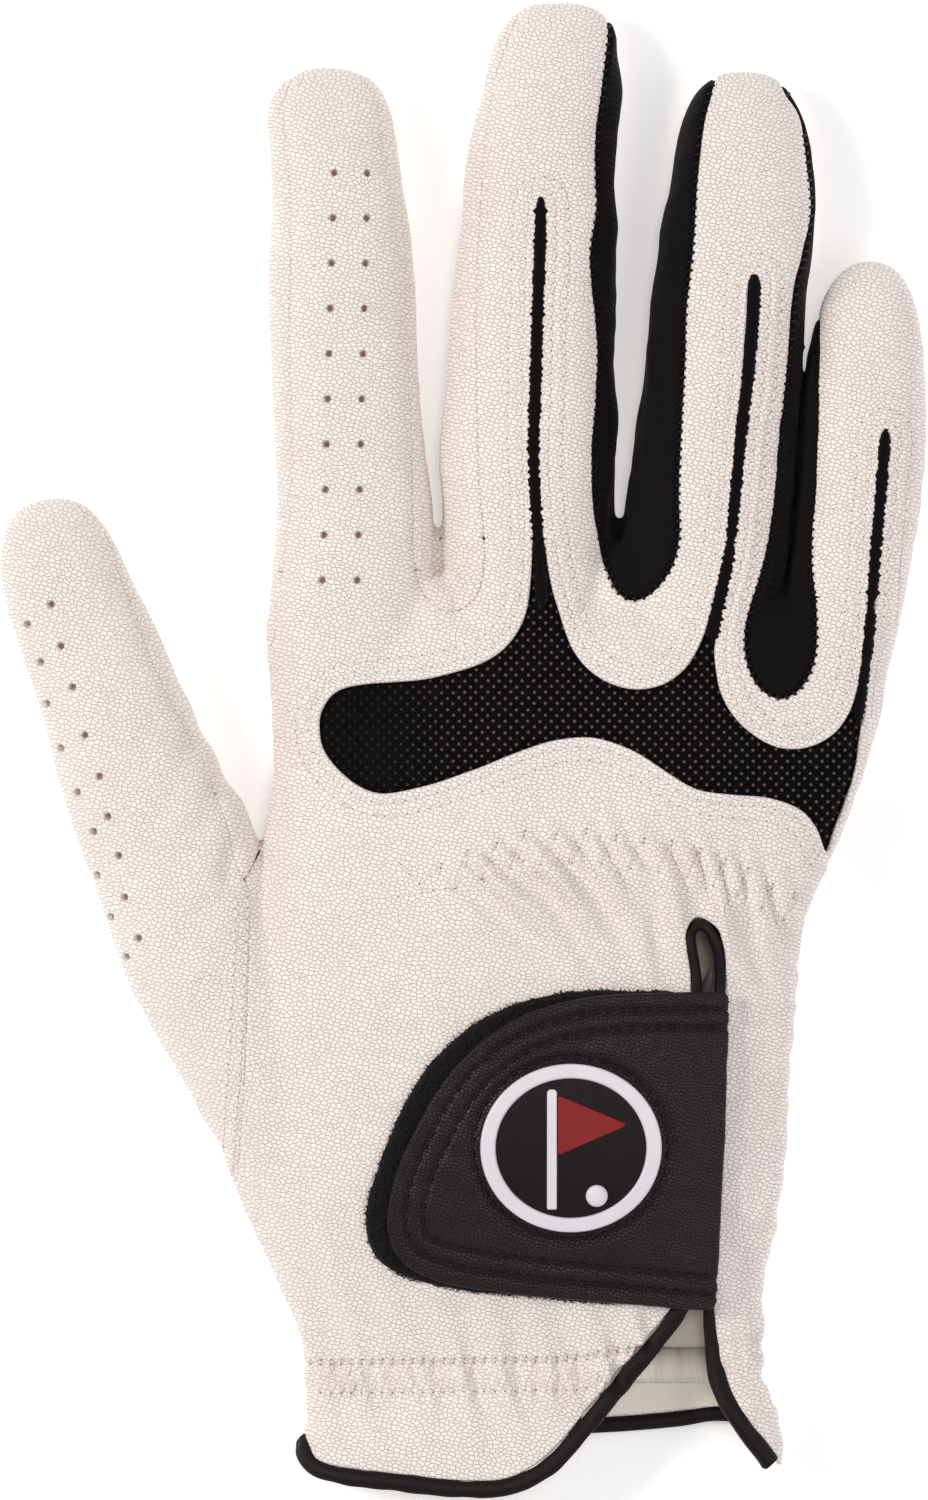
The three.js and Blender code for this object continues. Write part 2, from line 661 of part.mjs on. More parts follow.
// The origin goes under the middle of the glove.
const box = new THREE.Box3().setFromObject(glove);
glove.position.set(-(box.min.x + box.max.x) / 2, -(box.min.y + box.max.y) / 2, -box.min.z);

export default glove;
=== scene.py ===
import logging
import math
from dataclasses import dataclass, field
from enum import Enum

import bmesh
import bpy
import numpy as np
from mathutils import Matrix, Vector
from mathutils.bvhtree import BVHTree


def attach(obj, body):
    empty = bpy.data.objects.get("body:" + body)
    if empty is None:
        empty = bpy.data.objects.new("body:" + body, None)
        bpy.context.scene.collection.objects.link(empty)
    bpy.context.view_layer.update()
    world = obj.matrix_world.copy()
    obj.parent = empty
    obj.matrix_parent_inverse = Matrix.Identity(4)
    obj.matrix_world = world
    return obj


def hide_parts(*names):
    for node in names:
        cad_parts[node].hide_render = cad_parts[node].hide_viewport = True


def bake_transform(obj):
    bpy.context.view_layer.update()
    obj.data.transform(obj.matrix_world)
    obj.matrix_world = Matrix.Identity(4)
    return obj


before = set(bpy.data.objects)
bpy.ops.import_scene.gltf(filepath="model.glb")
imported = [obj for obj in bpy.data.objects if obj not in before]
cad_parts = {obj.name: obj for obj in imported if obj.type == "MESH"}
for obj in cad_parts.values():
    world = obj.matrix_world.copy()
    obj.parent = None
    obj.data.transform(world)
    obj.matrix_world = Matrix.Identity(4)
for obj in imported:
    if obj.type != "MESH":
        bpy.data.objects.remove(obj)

Array = np.ndarray
Points = tuple[tuple[float, ...], ...]
Names = tuple[str, ...]

log = logging.getLogger("golf_glove")

MM = 0.001
SEED = 20
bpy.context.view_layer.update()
HAND = "hand"
TAB = "closure_tab"
FAR = 60.0
END_DOME = 0.2
RIM_ANGLES = (0.7, 1.57, 2.44)
BACK_Z = 8


# --- lines and outlines
def curve_through(corners: Array, closed: bool, steps: int) -> Array:
    """Draws a smooth curve through points of any dimension.

    Args:
        corners: one point per row.
        closed: whether the curve runs back to its first point.
        steps: the number of straight pieces between two corners.

    Returns:
        The curve's points, one per row.
    """
    p = np.asarray(corners, float)
    if closed:
        ring = np.vstack([p[-1], p, p[0], p[1]])
    else:
        ring = np.vstack([2 * p[0] - p[1], p, 2 * p[-1] - p[-2]])
    made = []
    for i in range(len(ring) - 3):
        a, b, c, d = ring[i : i + 4]
        spans = [max(np.linalg.norm(step), 1e-6) ** 0.5 for step in (b - a, c - b, d - c)]
        ta, tb, tc, td = np.cumsum([0.0, *spans])
        t = np.linspace(tb, tc, steps, endpoint=False)[:, None]
        ab = a + (b - a) * (t - ta) / (tb - ta)
        bc = b + (c - b) * (t - tb) / (tc - tb)
        cd = c + (d - c) * (t - tc) / (td - tc)
        abc = ab + (bc - ab) * (t - ta) / (tc - ta)
        bcd = bc + (cd - bc) * (t - tb) / (td - tb)
        made.append(abc + (bcd - abc) * (t - tb) / (tc - tb))
    if not closed:
        made.append(p[-1:])
    return np.vstack(made)


@dataclass(frozen=True)
class Line:
    """An open line seen from above, in millimetres.

    Attributes:
        corners: the points that the line runs through.
        steps: straight pieces between two corners.
    """

    corners: Points
    steps: int = 6

    def path(self) -> Array:
        """Returns the line's points."""
        return curve_through(np.array(self.corners), False, self.steps)

    def locate(self, xy: Array, reach: float = 30.0) -> tuple[Array, Array]:
        """Measures points against the line.

        Args:
            xy: points seen from above.
            reach: the distance beyond which a point counts as far away.

        Returns:
            The distance to the line, positive on its left, and the length along it.
        """
        path = self.path()[:, :2]
        gap = np.full(len(xy), FAR)
        along = np.zeros(len(xy))
        low, high = path.min(0) - reach, path.max(0) + reach
        near = ((xy > low) & (xy < high)).all(1)
        p = xy[near]
        best, place = np.full(len(p), FAR), np.zeros(len(p))
        run = 0.0
        for a, b in zip(path[:-1], path[1:]):
            d = b - a
            length = max(float(np.hypot(*d)), 1e-9)
            t = np.clip((p - a) @ d / length**2, 0, 1)
            off = p - a - t[:, None] * d
            far = np.hypot(off[:, 0], off[:, 1])
            side = np.where(d[0] * off[:, 1] - d[1] * off[:, 0] >= 0, 1.0, -1.0)
            closer = far < np.abs(best)
            best = np.where(closer, far * side, best)
            place = np.where(closer, run + t * length, place)
            run += length
        gap[near], along[near] = best, place
        return gap, along


@dataclass(frozen=True)
class Outline:
    """A closed line seen from above, in millimetres.

    Attributes:
        corners: the points that the outline runs through.
        steps: straight pieces between two corners.
    """

    corners: Points
    steps: int = 5

    def path(self) -> Array:
        """Returns the outline's points."""
        return curve_through(np.array(self.corners), True, self.steps)

    def signed(self, xy: Array, reach: float = 9.0) -> Array:
        """Measures points against the outline.

        Args:
            xy: points seen from above.
            reach: the distance beyond which a point counts as far away.

        Returns:
            The distance to the outline, negative inside it.
        """
        path = self.path()
        low, high = path.min(0) - reach, path.max(0) + reach
        near = ((xy > low) & (xy < high)).all(1)
        p = xy[near]
        best = np.full(len(p), FAR)
        inside = np.zeros(len(p), bool)
        for a, b in zip(path, np.roll(path, -1, 0)):
            d = b - a
            t = np.clip((p - a) @ d / max(d @ d, 1e-12), 0, 1)
            off = p - a - t[:, None] * d
            best = np.minimum(best, np.hypot(off[:, 0], off[:, 1]))
            crosses = (a[1] > p[:, 1]) != (b[1] > p[:, 1])
            if crosses.any():
                x = a[0] + (p[:, 1] - a[1]) * d[0] / (d[1] if d[1] else 1e-12)
                inside ^= crosses & (p[:, 0] < x)
        made = np.full(len(xy), FAR)
        made[near] = np.where(inside, -best, best)
        return made

    def offset_runs(self, margin: float, pitch: float) -> list[Array]:
        """Lines that keep an even distance from the outline.

        Args:
            margin: the distance, positive outside the outline.
            pitch: the spacing of the points.

        Returns:
            One array of points for each unbroken run.
        """
        path = even(np.vstack([self.path(), self.path()[:1]]), pitch)[:-1]
        ahead = np.roll(path, -1, 0) - np.roll(path, 1, 0)
        ahead /= np.linalg.norm(ahead, axis=1, keepdims=True)
        area = np.sum(path[:, 0] * np.roll(path[:, 1], -1) - np.roll(path[:, 0], -1) * path[:, 1])
        out = np.stack([ahead[:, 1], -ahead[:, 0]], 1) * np.sign(area)
        moved = path + out * margin
        good = np.abs(self.signed(moved, abs(margin) + 4) - margin) < 0.15
        return runs_of(moved, good)


def runs_of(path: Array, good: Array) -> list[Array]:
    """Splits a closed path into its unbroken good runs.

    Args:
        path: the path's points.
        good: whether each point is kept.

    Returns:
        One array of points per run.
    """
    if good.all():
        return [np.vstack([path, path[:1]])]
    first = int(np.argmin(good))
    path, good = np.roll(path, -first, 0), np.roll(good, -first)
    runs, current = [], []
    for point, keep in zip(path, good):
        if keep:
            current.append(point)
        elif current:
            runs.append(np.array(current))
            current = []
    if current:
        runs.append(np.array(current))
    return [run for run in runs if len(run) > 3]


def even(path: Array, pitch: float) -> Array:
    """Spaces a path's points evenly.

    Args:
        path: the points, one per row.
        pitch: the wanted spacing.

    Returns:
        Evenly spaced points along the same path.
    """
    steps = np.linalg.norm(np.diff(path[:, :2], axis=0), axis=1)
    along = np.concatenate([[0], np.cumsum(steps)])
    count = max(int(round(along[-1] / pitch)), 2)
    at = np.linspace(0, along[-1], count + 1)
    return np.stack([np.interp(at, along, path[:, k]) for k in range(path.shape[1])], 1)


def smooth_step(value: Array, low: float, high: float) -> Array:
    """Rises smoothly from 0 at low to 1 at high."""
    t = np.clip((value - low) / (high - low), 0, 1)
    return t * t * (3 - 2 * t)


def bell(distance: Array, width: float) -> Array:
    """A bump that is 1 at zero distance and fades over the width."""
    return np.exp(-((distance / width) ** 2))


def unit(vectors: Array) -> Array:
    """Scales each row to length 1."""
    return vectors / np.maximum(np.linalg.norm(vectors, axis=-1, keepdims=True), 1e-12)


# --- pieces of surface
# The new triangles for each number of halved edges: 0 to 2 are corners, 3 to 5 the middles after them.
SPLITS = {
    1: ((0, 3, 2), (3, 1, 2)),
    2: ((3, 1, 4), (0, 3, 4), (0, 4, 2)),
    3: ((0, 3, 5), (3, 1, 4), (5, 4, 2), (3, 4, 5)),
}


@dataclass
class Surface:
    """An open piece of surface, in millimetres.

    Attributes:
        points: one point per row.
        faces: triangles, counter-clockwise from outside.
        normals: one outward unit vector per point.
        values: named numbers that each point carries, such as its distance to a seam.
    """

    points: Array
    faces: Array
    normals: Array
    values: dict[str, Array] = field(default_factory=dict)

    @property
    def xy(self) -> Array:
        """The points as seen from above."""
        return self.points[:, :2]

    def with_faces(self, faces: Array) -> "Surface":
        """Keeps only the given faces and the points that they use."""
        used = np.unique(faces)
        order = np.full(len(self.points), -1)
        order[used] = np.arange(len(used))
        values = {name: value[used] for name, value in self.values.items()}
        return Surface(self.points[used], order[faces], self.normals[used], values)

    def between(self, a: Array, b: Array, t: Array) -> "Surface":
        """Adds points between pairs of points.

        Args:
            a: indices of the first points.
            b: indices of the second points.
            t: how far along from the first to the second.

        Returns:
            The same surface with the new points at its end.
        """
        s = t[:, None]
        points = self.points[a] * (1 - s) + self.points[b] * s
        normals = unit(self.normals[a] * (1 - s) + self.normals[b] * s)
        values = {
            name: np.concatenate([value, value[a] * (1 - t) + value[b] * t])
            for name, value in self.values.items()
        }
        normals = np.vstack([self.normals, normals])
        return Surface(np.vstack([self.points, points]), self.faces, normals, values)

    def cut(self, level: Array) -> "Surface":
        """The part of the surface where level is below zero, cut along its zero line.

        Args:
            level: one number per point.

        Returns:
            The kept part.
        """
        inside = level < 0
        flags = inside[self.faces]
        count = flags.sum(1)
        one, two = self.faces[count == 1], self.faces[count == 2]
        one = rolled(one, flags[count == 1].argmax(1))
        two = rolled(two, (~flags[count == 2]).argmax(1))
        edges = np.concatenate([one[:, [0, 1]], one[:, [0, 2]], two[:, [0, 1]], two[:, [0, 2]]])
        low, high, place = shared_edges(edges, len(self.points))
        t = level[low] / (level[low] - level[high])
        ids = place + len(self.points)
        n, m = len(one), len(two)
        a, b, c, d = ids[:n], ids[n : 2 * n], ids[2 * n : 2 * n + m], ids[2 * n + m :]
        corner, left, right = one[:, 0], two[:, 1], two[:, 2]
        pieces = [np.stack(piece, 1) for piece in ((corner, a, b), (c, left, right), (c, right, d))]
        return self.between(low, high, t).with_faces(np.concatenate([self.faces[count == 3], *pieces]))

    def refined(self, near: Array) -> "Surface":
        """Halves the edges at the chosen points, so that fine detail has room there.

        Args:
            near: whether each point is in the fine area.

        Returns:
            The finer surface.
        """
        pairs = np.stack([self.faces[:, [0, 1]], self.faces[:, [1, 2]], self.faces[:, [2, 0]]], 1)
        split = near[pairs].any(2)
        low, high, place = shared_edges(pairs[split], len(self.points))
        middle = np.full(split.shape, -1)
        middle[split] = place + len(self.points)
        count = split.sum(1)
        made = [self.faces[count == 0]]
        for wanted, pieces in SPLITS.items():
            rows = count == wanted
            turn = split[rows].argmax(1) if wanted == 1 else (~split[rows]).argmax(1) + 1
            turn = turn % 3 if wanted < 3 else np.zeros(rows.sum(), int)
            places = np.hstack([rolled(self.faces[rows], turn), rolled(middle[rows], turn)])
            made += [places[:, piece] for piece in pieces]
        finer = self.between(low, high, np.full(len(low), 0.5))
        finer.faces = np.concatenate(made)
        return finer

    def lifted(self, height: Array | float) -> "Surface":
        """Moves each point along its normal."""
        height = np.broadcast_to(np.asarray(height, float), len(self.points))
        return Surface(
            self.points + self.normals * height[:, None], self.faces, self.normals, dict(self.values)
        )

    def along_surface(self, distance: Array) -> Array:
        """Turns distances seen from above into distances along the surface, near their zero line.

        Args:
            distance: one number per point, as seen from above.

        Returns:
            The distances, larger where the surface is steep.
        """
        a, b, c = (self.points[self.faces[:, k]] for k in range(3))
        normal = np.cross(b - a, c - a)
        twice_area = np.maximum(np.linalg.norm(normal, axis=1, keepdims=True), 1e-9)
        normal = normal / twice_area
        slope = sum(
            distance[self.faces[:, k]][:, None] * np.cross(normal, edge)
            for k, edge in enumerate((c - b, a - c, b - a))
        )
        steep = np.linalg.norm(slope / twice_area, axis=1)
        total, count = np.zeros(len(self.points)), np.zeros(len(self.points))
        for k in range(3):
            total += np.bincount(self.faces[:, k], steep, len(self.points))
            count += np.bincount(self.faces[:, k], minlength=len(self.points))
        return distance / np.clip(total / np.maximum(count, 1), 0.12, 1.0)

    def reshaded(self) -> "Surface":
        """Works the normals out again from the faces."""
        a, b, c = (self.points[self.faces[:, k]] for k in range(3))
        face = np.cross(b - a, c - a)
        total = np.zeros_like(self.points)
        for k in range(3):
            for axis in range(3):
                total[:, axis] += np.bincount(self.faces[:, k], face[:, axis], len(self.points))
        return Surface(self.points, self.faces, unit(total), dict(self.values))


def rolled(rows: Array, turn: Array) -> Array:
    """Turns each row of three so that it starts at the given place."""
    return np.take_along_axis(rows, (turn[:, None] + np.arange(3)) % 3, 1)


def shared_edges(edges: Array, count: int) -> tuple[Array, Array, Array]:
    """Finds the distinct edges among pairs of point indices.

    Args:
        edges: pairs, in any order.
        count: the number of points.

    Returns:
        The lower and higher index of each distinct edge, and each pair's place among them.
    """
    key = edges.min(1).astype(np.int64) * count + edges.max(1)
    distinct, place = np.unique(key, return_inverse=True)
    return distinct // count, distinct % count, place.reshape(-1)


@dataclass
class Solid:
    """A mesh ready for Blender, in millimetres.

    Attributes:
        points: one point per row.
        faces: triangles.
        normals: one shading normal per point.
        lining: whether each face is on the inner side.
        shade: how much each point takes the finish's mark colour, such as the painted shade inside punched
            holes.
    """

    points: Array
    faces: Array
    normals: Array
    lining: Array
    shade: Array


def shell_of(surface: Surface, thickness: float, flat: Array | None = None) -> Solid:
    """Gives a surface its thickness, with rounded edges.

    Args:
        surface: the outer face.
        thickness: the thickness, measured inwards.
        flat: points whose edge is cut square, because the piece runs on beyond it.

    Returns:
        A closed solid.
    """
    faces, count = surface.faces, len(surface.points)
    edges = np.concatenate([faces[:, [0, 1]], faces[:, [1, 2]], faces[:, [2, 0]]]).astype(np.int64)
    key, back = edges[:, 0] * count + edges[:, 1], edges[:, 1] * count + edges[:, 0]
    rim = edges[~np.isin(key, back)]
    ids = np.unique(rim)
    order = np.full(count, -1)
    order[ids] = np.arange(len(ids))
    run = surface.points[rim[:, 1]] - surface.points[rim[:, 0]]
    out = np.zeros((count, 3))
    for end in (0, 1):
        np.add.at(out, rim[:, end], np.cross(run, surface.normals[rim[:, end]]))
    out, up = unit(out[ids]), surface.normals[ids]
    if flat is not None:
        out = out * (~flat[ids])[:, None]
    r = thickness / 2
    rings, ring_normals = [], []
    for angle in RIM_ANGLES:
        rings.append(surface.points[ids] + out * r * math.sin(angle) - up * r * (1 - math.cos(angle)))
        ring_normals.append(unit(up * math.cos(angle) + out * math.sin(angle) + up * 1e-6))
    inner = surface.points - surface.normals * thickness
    points = np.vstack([surface.points, inner, *rings])
    normals = np.vstack([surface.normals, -surface.normals, *ring_normals])
    a, b = order[rim[:, 0]], order[rim[:, 1]]
    chains = [(rim[:, 0], rim[:, 1])]
    for k in range(3):
        base = 2 * count + k * len(ids)
        chains.append((base + a, base + b))
    chains.append((rim[:, 0] + count, rim[:, 1] + count))
    strips = []
    for (a0, b0), (a1, b1) in zip(chains, chains[1:]):
        strips += [np.stack([b0, a0, a1], 1), np.stack([b0, a1, b1], 1)]
    all_faces = np.concatenate([faces, *strips, faces[:, ::-1] + count])
    lining = np.zeros(len(all_faces), bool)
    lining[-len(faces) :] = True
    shade = surface.values.get("shade", np.zeros(count))
    return Solid(points, all_faces, normals, lining, np.concatenate([shade, shade, *[shade[ids]] * 3]))


def tube_faces(sides: int, rings: int) -> Array:
    """Joins rings of points into the wall of a tube.

    Args:
        sides: points in each ring.
        rings: the number of rings.

    Returns:
        The wall's triangles.
    """
    k, i = np.meshgrid(np.arange(sides), np.arange(rings - 1))
    a, b = i * sides + k, i * sides + (k + 1) % sides
    lower, upper = np.stack([a, b, b + sides], -1), np.stack([a, b + sides, a + sides], -1)
    return np.concatenate([lower.reshape(-1, 3), upper.reshape(-1, 3)])


def swept(
    path: Array, ups: Array, widths: Array, heights: Array, sides: int = 10, roundness: float = 0.8
) -> Solid:
    """Sweeps a flattened round section along a path.

    Args:
        path: the middle of the section at each step.
        ups: the outward direction at each step.
        widths: full width of the section at each step.
        heights: full height of the section at each step.
        sides: corners of the section.
        roundness: 1 for an ellipse, less for a squarer section.

    Returns:
        A closed tube with rounded ends.
    """
    ahead = unit(np.gradient(path, axis=0))
    across = unit(np.cross(ahead, ups))
    ups = np.cross(across, ahead)
    angle = np.linspace(0, 2 * math.pi, sides, endpoint=False)
    c, s = np.cos(angle), np.sin(angle)
    c, s = np.sign(c) * np.abs(c) ** roundness, np.sign(s) * np.abs(s) ** roundness
    rings = (
        path[:, None]
        + across[:, None] * (c[None, :, None] * widths[:, None, None] / 2)
        + ups[:, None] * (s[None, :, None] * heights[:, None, None] / 2)
    )
    normals = unit(across[:, None] * c[None, :, None] + ups[:, None] * s[None, :, None])
    first = len(path) * sides
    tip, turn = np.ones(sides, int), np.arange(sides)
    end, onward = first - sides + turn, (turn + 1) % sides
    caps = [
        np.stack([tip * first, onward, turn], 1),
        np.stack([tip * (first + 1), end, first - sides + onward], 1),
    ]
    ends = path[0] - ahead[0] * END_DOME, path[-1] + ahead[-1] * END_DOME
    points = np.vstack([rings.reshape(-1, 3), *ends])
    shading = np.vstack([normals.reshape(-1, 3), -ahead[0], ahead[-1]])
    faces = np.concatenate([tube_faces(sides, len(path)), *caps])[:, ::-1]
    return Solid(points, faces, shading, np.zeros(len(faces), bool), np.zeros(len(points)))


def beads(
    starts: Array, ends: Array, ups: Array, radius: float, arch: float, sink: float, sides: int = 6
) -> Solid:
    """Makes many short rounded threads in one mesh.

    Args:
        starts: where each thread begins.
        ends: where each thread ends.
        ups: the outward direction at each thread.
        radius: half the thread's thickness.
        arch: how far a thread's middle stands above the line between its ends.
        sink: how far its ends go below that line.
        sides: corners of the thread's section.

    Returns:
        One mesh that holds them all.
    """
    at = np.array([0.0, 0.1, 0.3, 0.5, 0.7, 0.9, 1.0])
    thick = np.array([0.25, 0.8, 1.0, 1.0, 1.0, 0.8, 0.25]) * radius
    height = np.array([-sink, -sink * 0.2, arch * 0.8, arch, arch * 0.8, -sink * 0.2, -sink])
    ahead = unit(ends - starts)
    across = unit(np.cross(ahead, ups))
    ups = np.cross(across, ahead)
    middle = starts[:, None] + (ends - starts)[:, None] * at[None, :, None]
    middle = middle + ups[:, None] * height[None, :, None]
    angle = np.linspace(0, 2 * math.pi, sides, endpoint=False)
    c, s = np.cos(angle), np.sin(angle)
    radial = across[:, None] * c[None, :, None] + ups[:, None] * s[None, :, None]
    points = middle[:, :, None] + radial[:, None] * thick[None, :, None, None]
    n, rows = len(starts), len(at)
    normals = np.broadcast_to(radial[:, None], points.shape).reshape(-1, 3)
    cap = np.array([[0, j + 1, j] for j in range(1, sides - 1)])
    one = np.concatenate([tube_faces(sides, rows), cap, cap[:, [0, 2, 1]] + (rows - 1) * sides])
    faces = (one[None] + (np.arange(n) * rows * sides)[:, None, None]).reshape(-1, 3)[:, ::-1]
    lining, shade = np.zeros(len(faces), bool), np.zeros(n * rows * sides)
    return Solid(points.reshape(-1, 3), faces, normals, lining, shade)


@dataclass
class Drape:
    """Finds the place on a surface that lies under a point seen from above.

    Attributes:
        surface: the surface to lie on.
    """

    surface: Surface

    def __post_init__(self) -> None:
        """Prepares the surface for looking up."""
        self.tree = BVHTree.FromPolygons(self.surface.points.tolist(), self.surface.faces.tolist())

    def at(self, xy: Array) -> tuple[Array, Array, Array]:
        """Drops points on the surface.

        Args:
            xy: points seen from above.

        Returns:
            The places, their outward directions, and whether each point met the surface.
        """
        places, ups, met = np.zeros((len(xy), 3)), np.zeros((len(xy), 3)), np.zeros(len(xy), bool)
        for i, (x, y) in enumerate(xy):
            hit, _, face, _ = self.tree.ray_cast(Vector((x, y, FAR)), Vector((0, 0, -1)))
            if hit is not None:
                corners = self.surface.faces[face]
                places[i] = hit
                ups[i] = self.surface.normals[corners].mean(0)
                met[i] = True
        ups[~met] = (0, 0, 1)
        return places, unit(ups), met

    def on(self, xy: Array) -> tuple[Array, Array]:
        """Drops points on the surface, and leaves out those that miss it.

        Args:
            xy: points seen from above.

        Returns:
            The places and their outward directions.
        """
        places, ups, met = self.at(xy)
        return places[met], ups[met]


def eased(places: Array, ups: Array, rounds: int) -> tuple[Array, Array]:
    """Smooths a path that lies on a surface.

    Args:
        places: the path's points.
        ups: their outward directions.
        rounds: how often to smooth them.

    Returns:
        The smoothed points and directions.
    """
    for _ in range(rounds):
        places[1:-1] = (places[:-2] + places[1:-1] * 2 + places[2:]) / 4
        ups[1:-1] = unit(ups[:-2] + ups[1:-1] * 2 + ups[2:])
    return places, ups


# --- finishes
def linear(colour: str) -> tuple[float, float, float, float]:
    """Turns an sRGB hex colour into the linear values that shaders use.

    Args:
        colour: six hex digits after a hash sign.

    Returns:
        Red, green, blue and full opacity.
    """
    parts = [int(colour[i : i + 2], 16) / 255 for i in (1, 3, 5)]
    r, g, b = (c / 12.92 if c <= 0.04045 else ((c + 0.055) / 1.055) ** 2.4 for c in parts)
    return r, g, b, 1.0


class Pattern(Enum):
    """How a finish is made up at close range."""

    GRAIN = "embossed grain"
    KNIT = "open knit"
    TWILL = "twill weave"
    RIB = "ribbed weave"
    NAP = "fine nap"
    SMOOTH = "smooth moulding"


# Sockets of the colour mix node, whose names are shared by several of its sockets.
MIX_FACTOR, MIX_FIRST, MIX_SECOND, MIX_COLOUR = 0, 6, 7, 2
# One soil cloud is about 18 mm wide.
DRIFT_SCALE = 0.055
FINE_CELLS = 1.6
FINE_SHARE = 0.35
# The wave texture makes a rib in about a third of its unit.
RIBS_PER_UNIT = 0.31
# How each pattern made of cells turns and stretches them, shapes one cell, and rises from its edge.
CELLULAR = {
    # A tilted view keeps the pebbles even on the back and unbroken on the sides.
    Pattern.GRAIN: (
        (0.35, 0.35, 0.4), 1.25, {"feature": "DISTANCE_TO_EDGE", "Randomness": 0.8}, {"From Max": 0.13},
    ),
    # Turning a square lattice by an eighth of a turn staggers its rows.
    Pattern.KNIT: ((0, 0, math.pi / 4), 1.0, {"Randomness": 0.12}, {"From Min": 0.1, "From Max": 0.26}),
}


def add_node(
    tree: bpy.types.NodeTree, kind: str, settings: dict | None = None, links: dict | None = None
) -> bpy.types.Node:
    """Adds a node with its settings and links.

    Args:
        tree: the node tree.
        kind: the node's type name.
        settings: attributes, or input sockets by name, with their values.
        links: input sockets by name or number, with the output sockets that feed them.

    Returns:
        The new node.
    """
    made = tree.nodes.new(kind)
    for name, value in (settings or {}).items():
        if hasattr(made, name):
            setattr(made, name, value)
        else:
            made.inputs[name].default_value = value
    for name, source in (links or {}).items():
        tree.links.new(source, made.inputs[name])
    return made


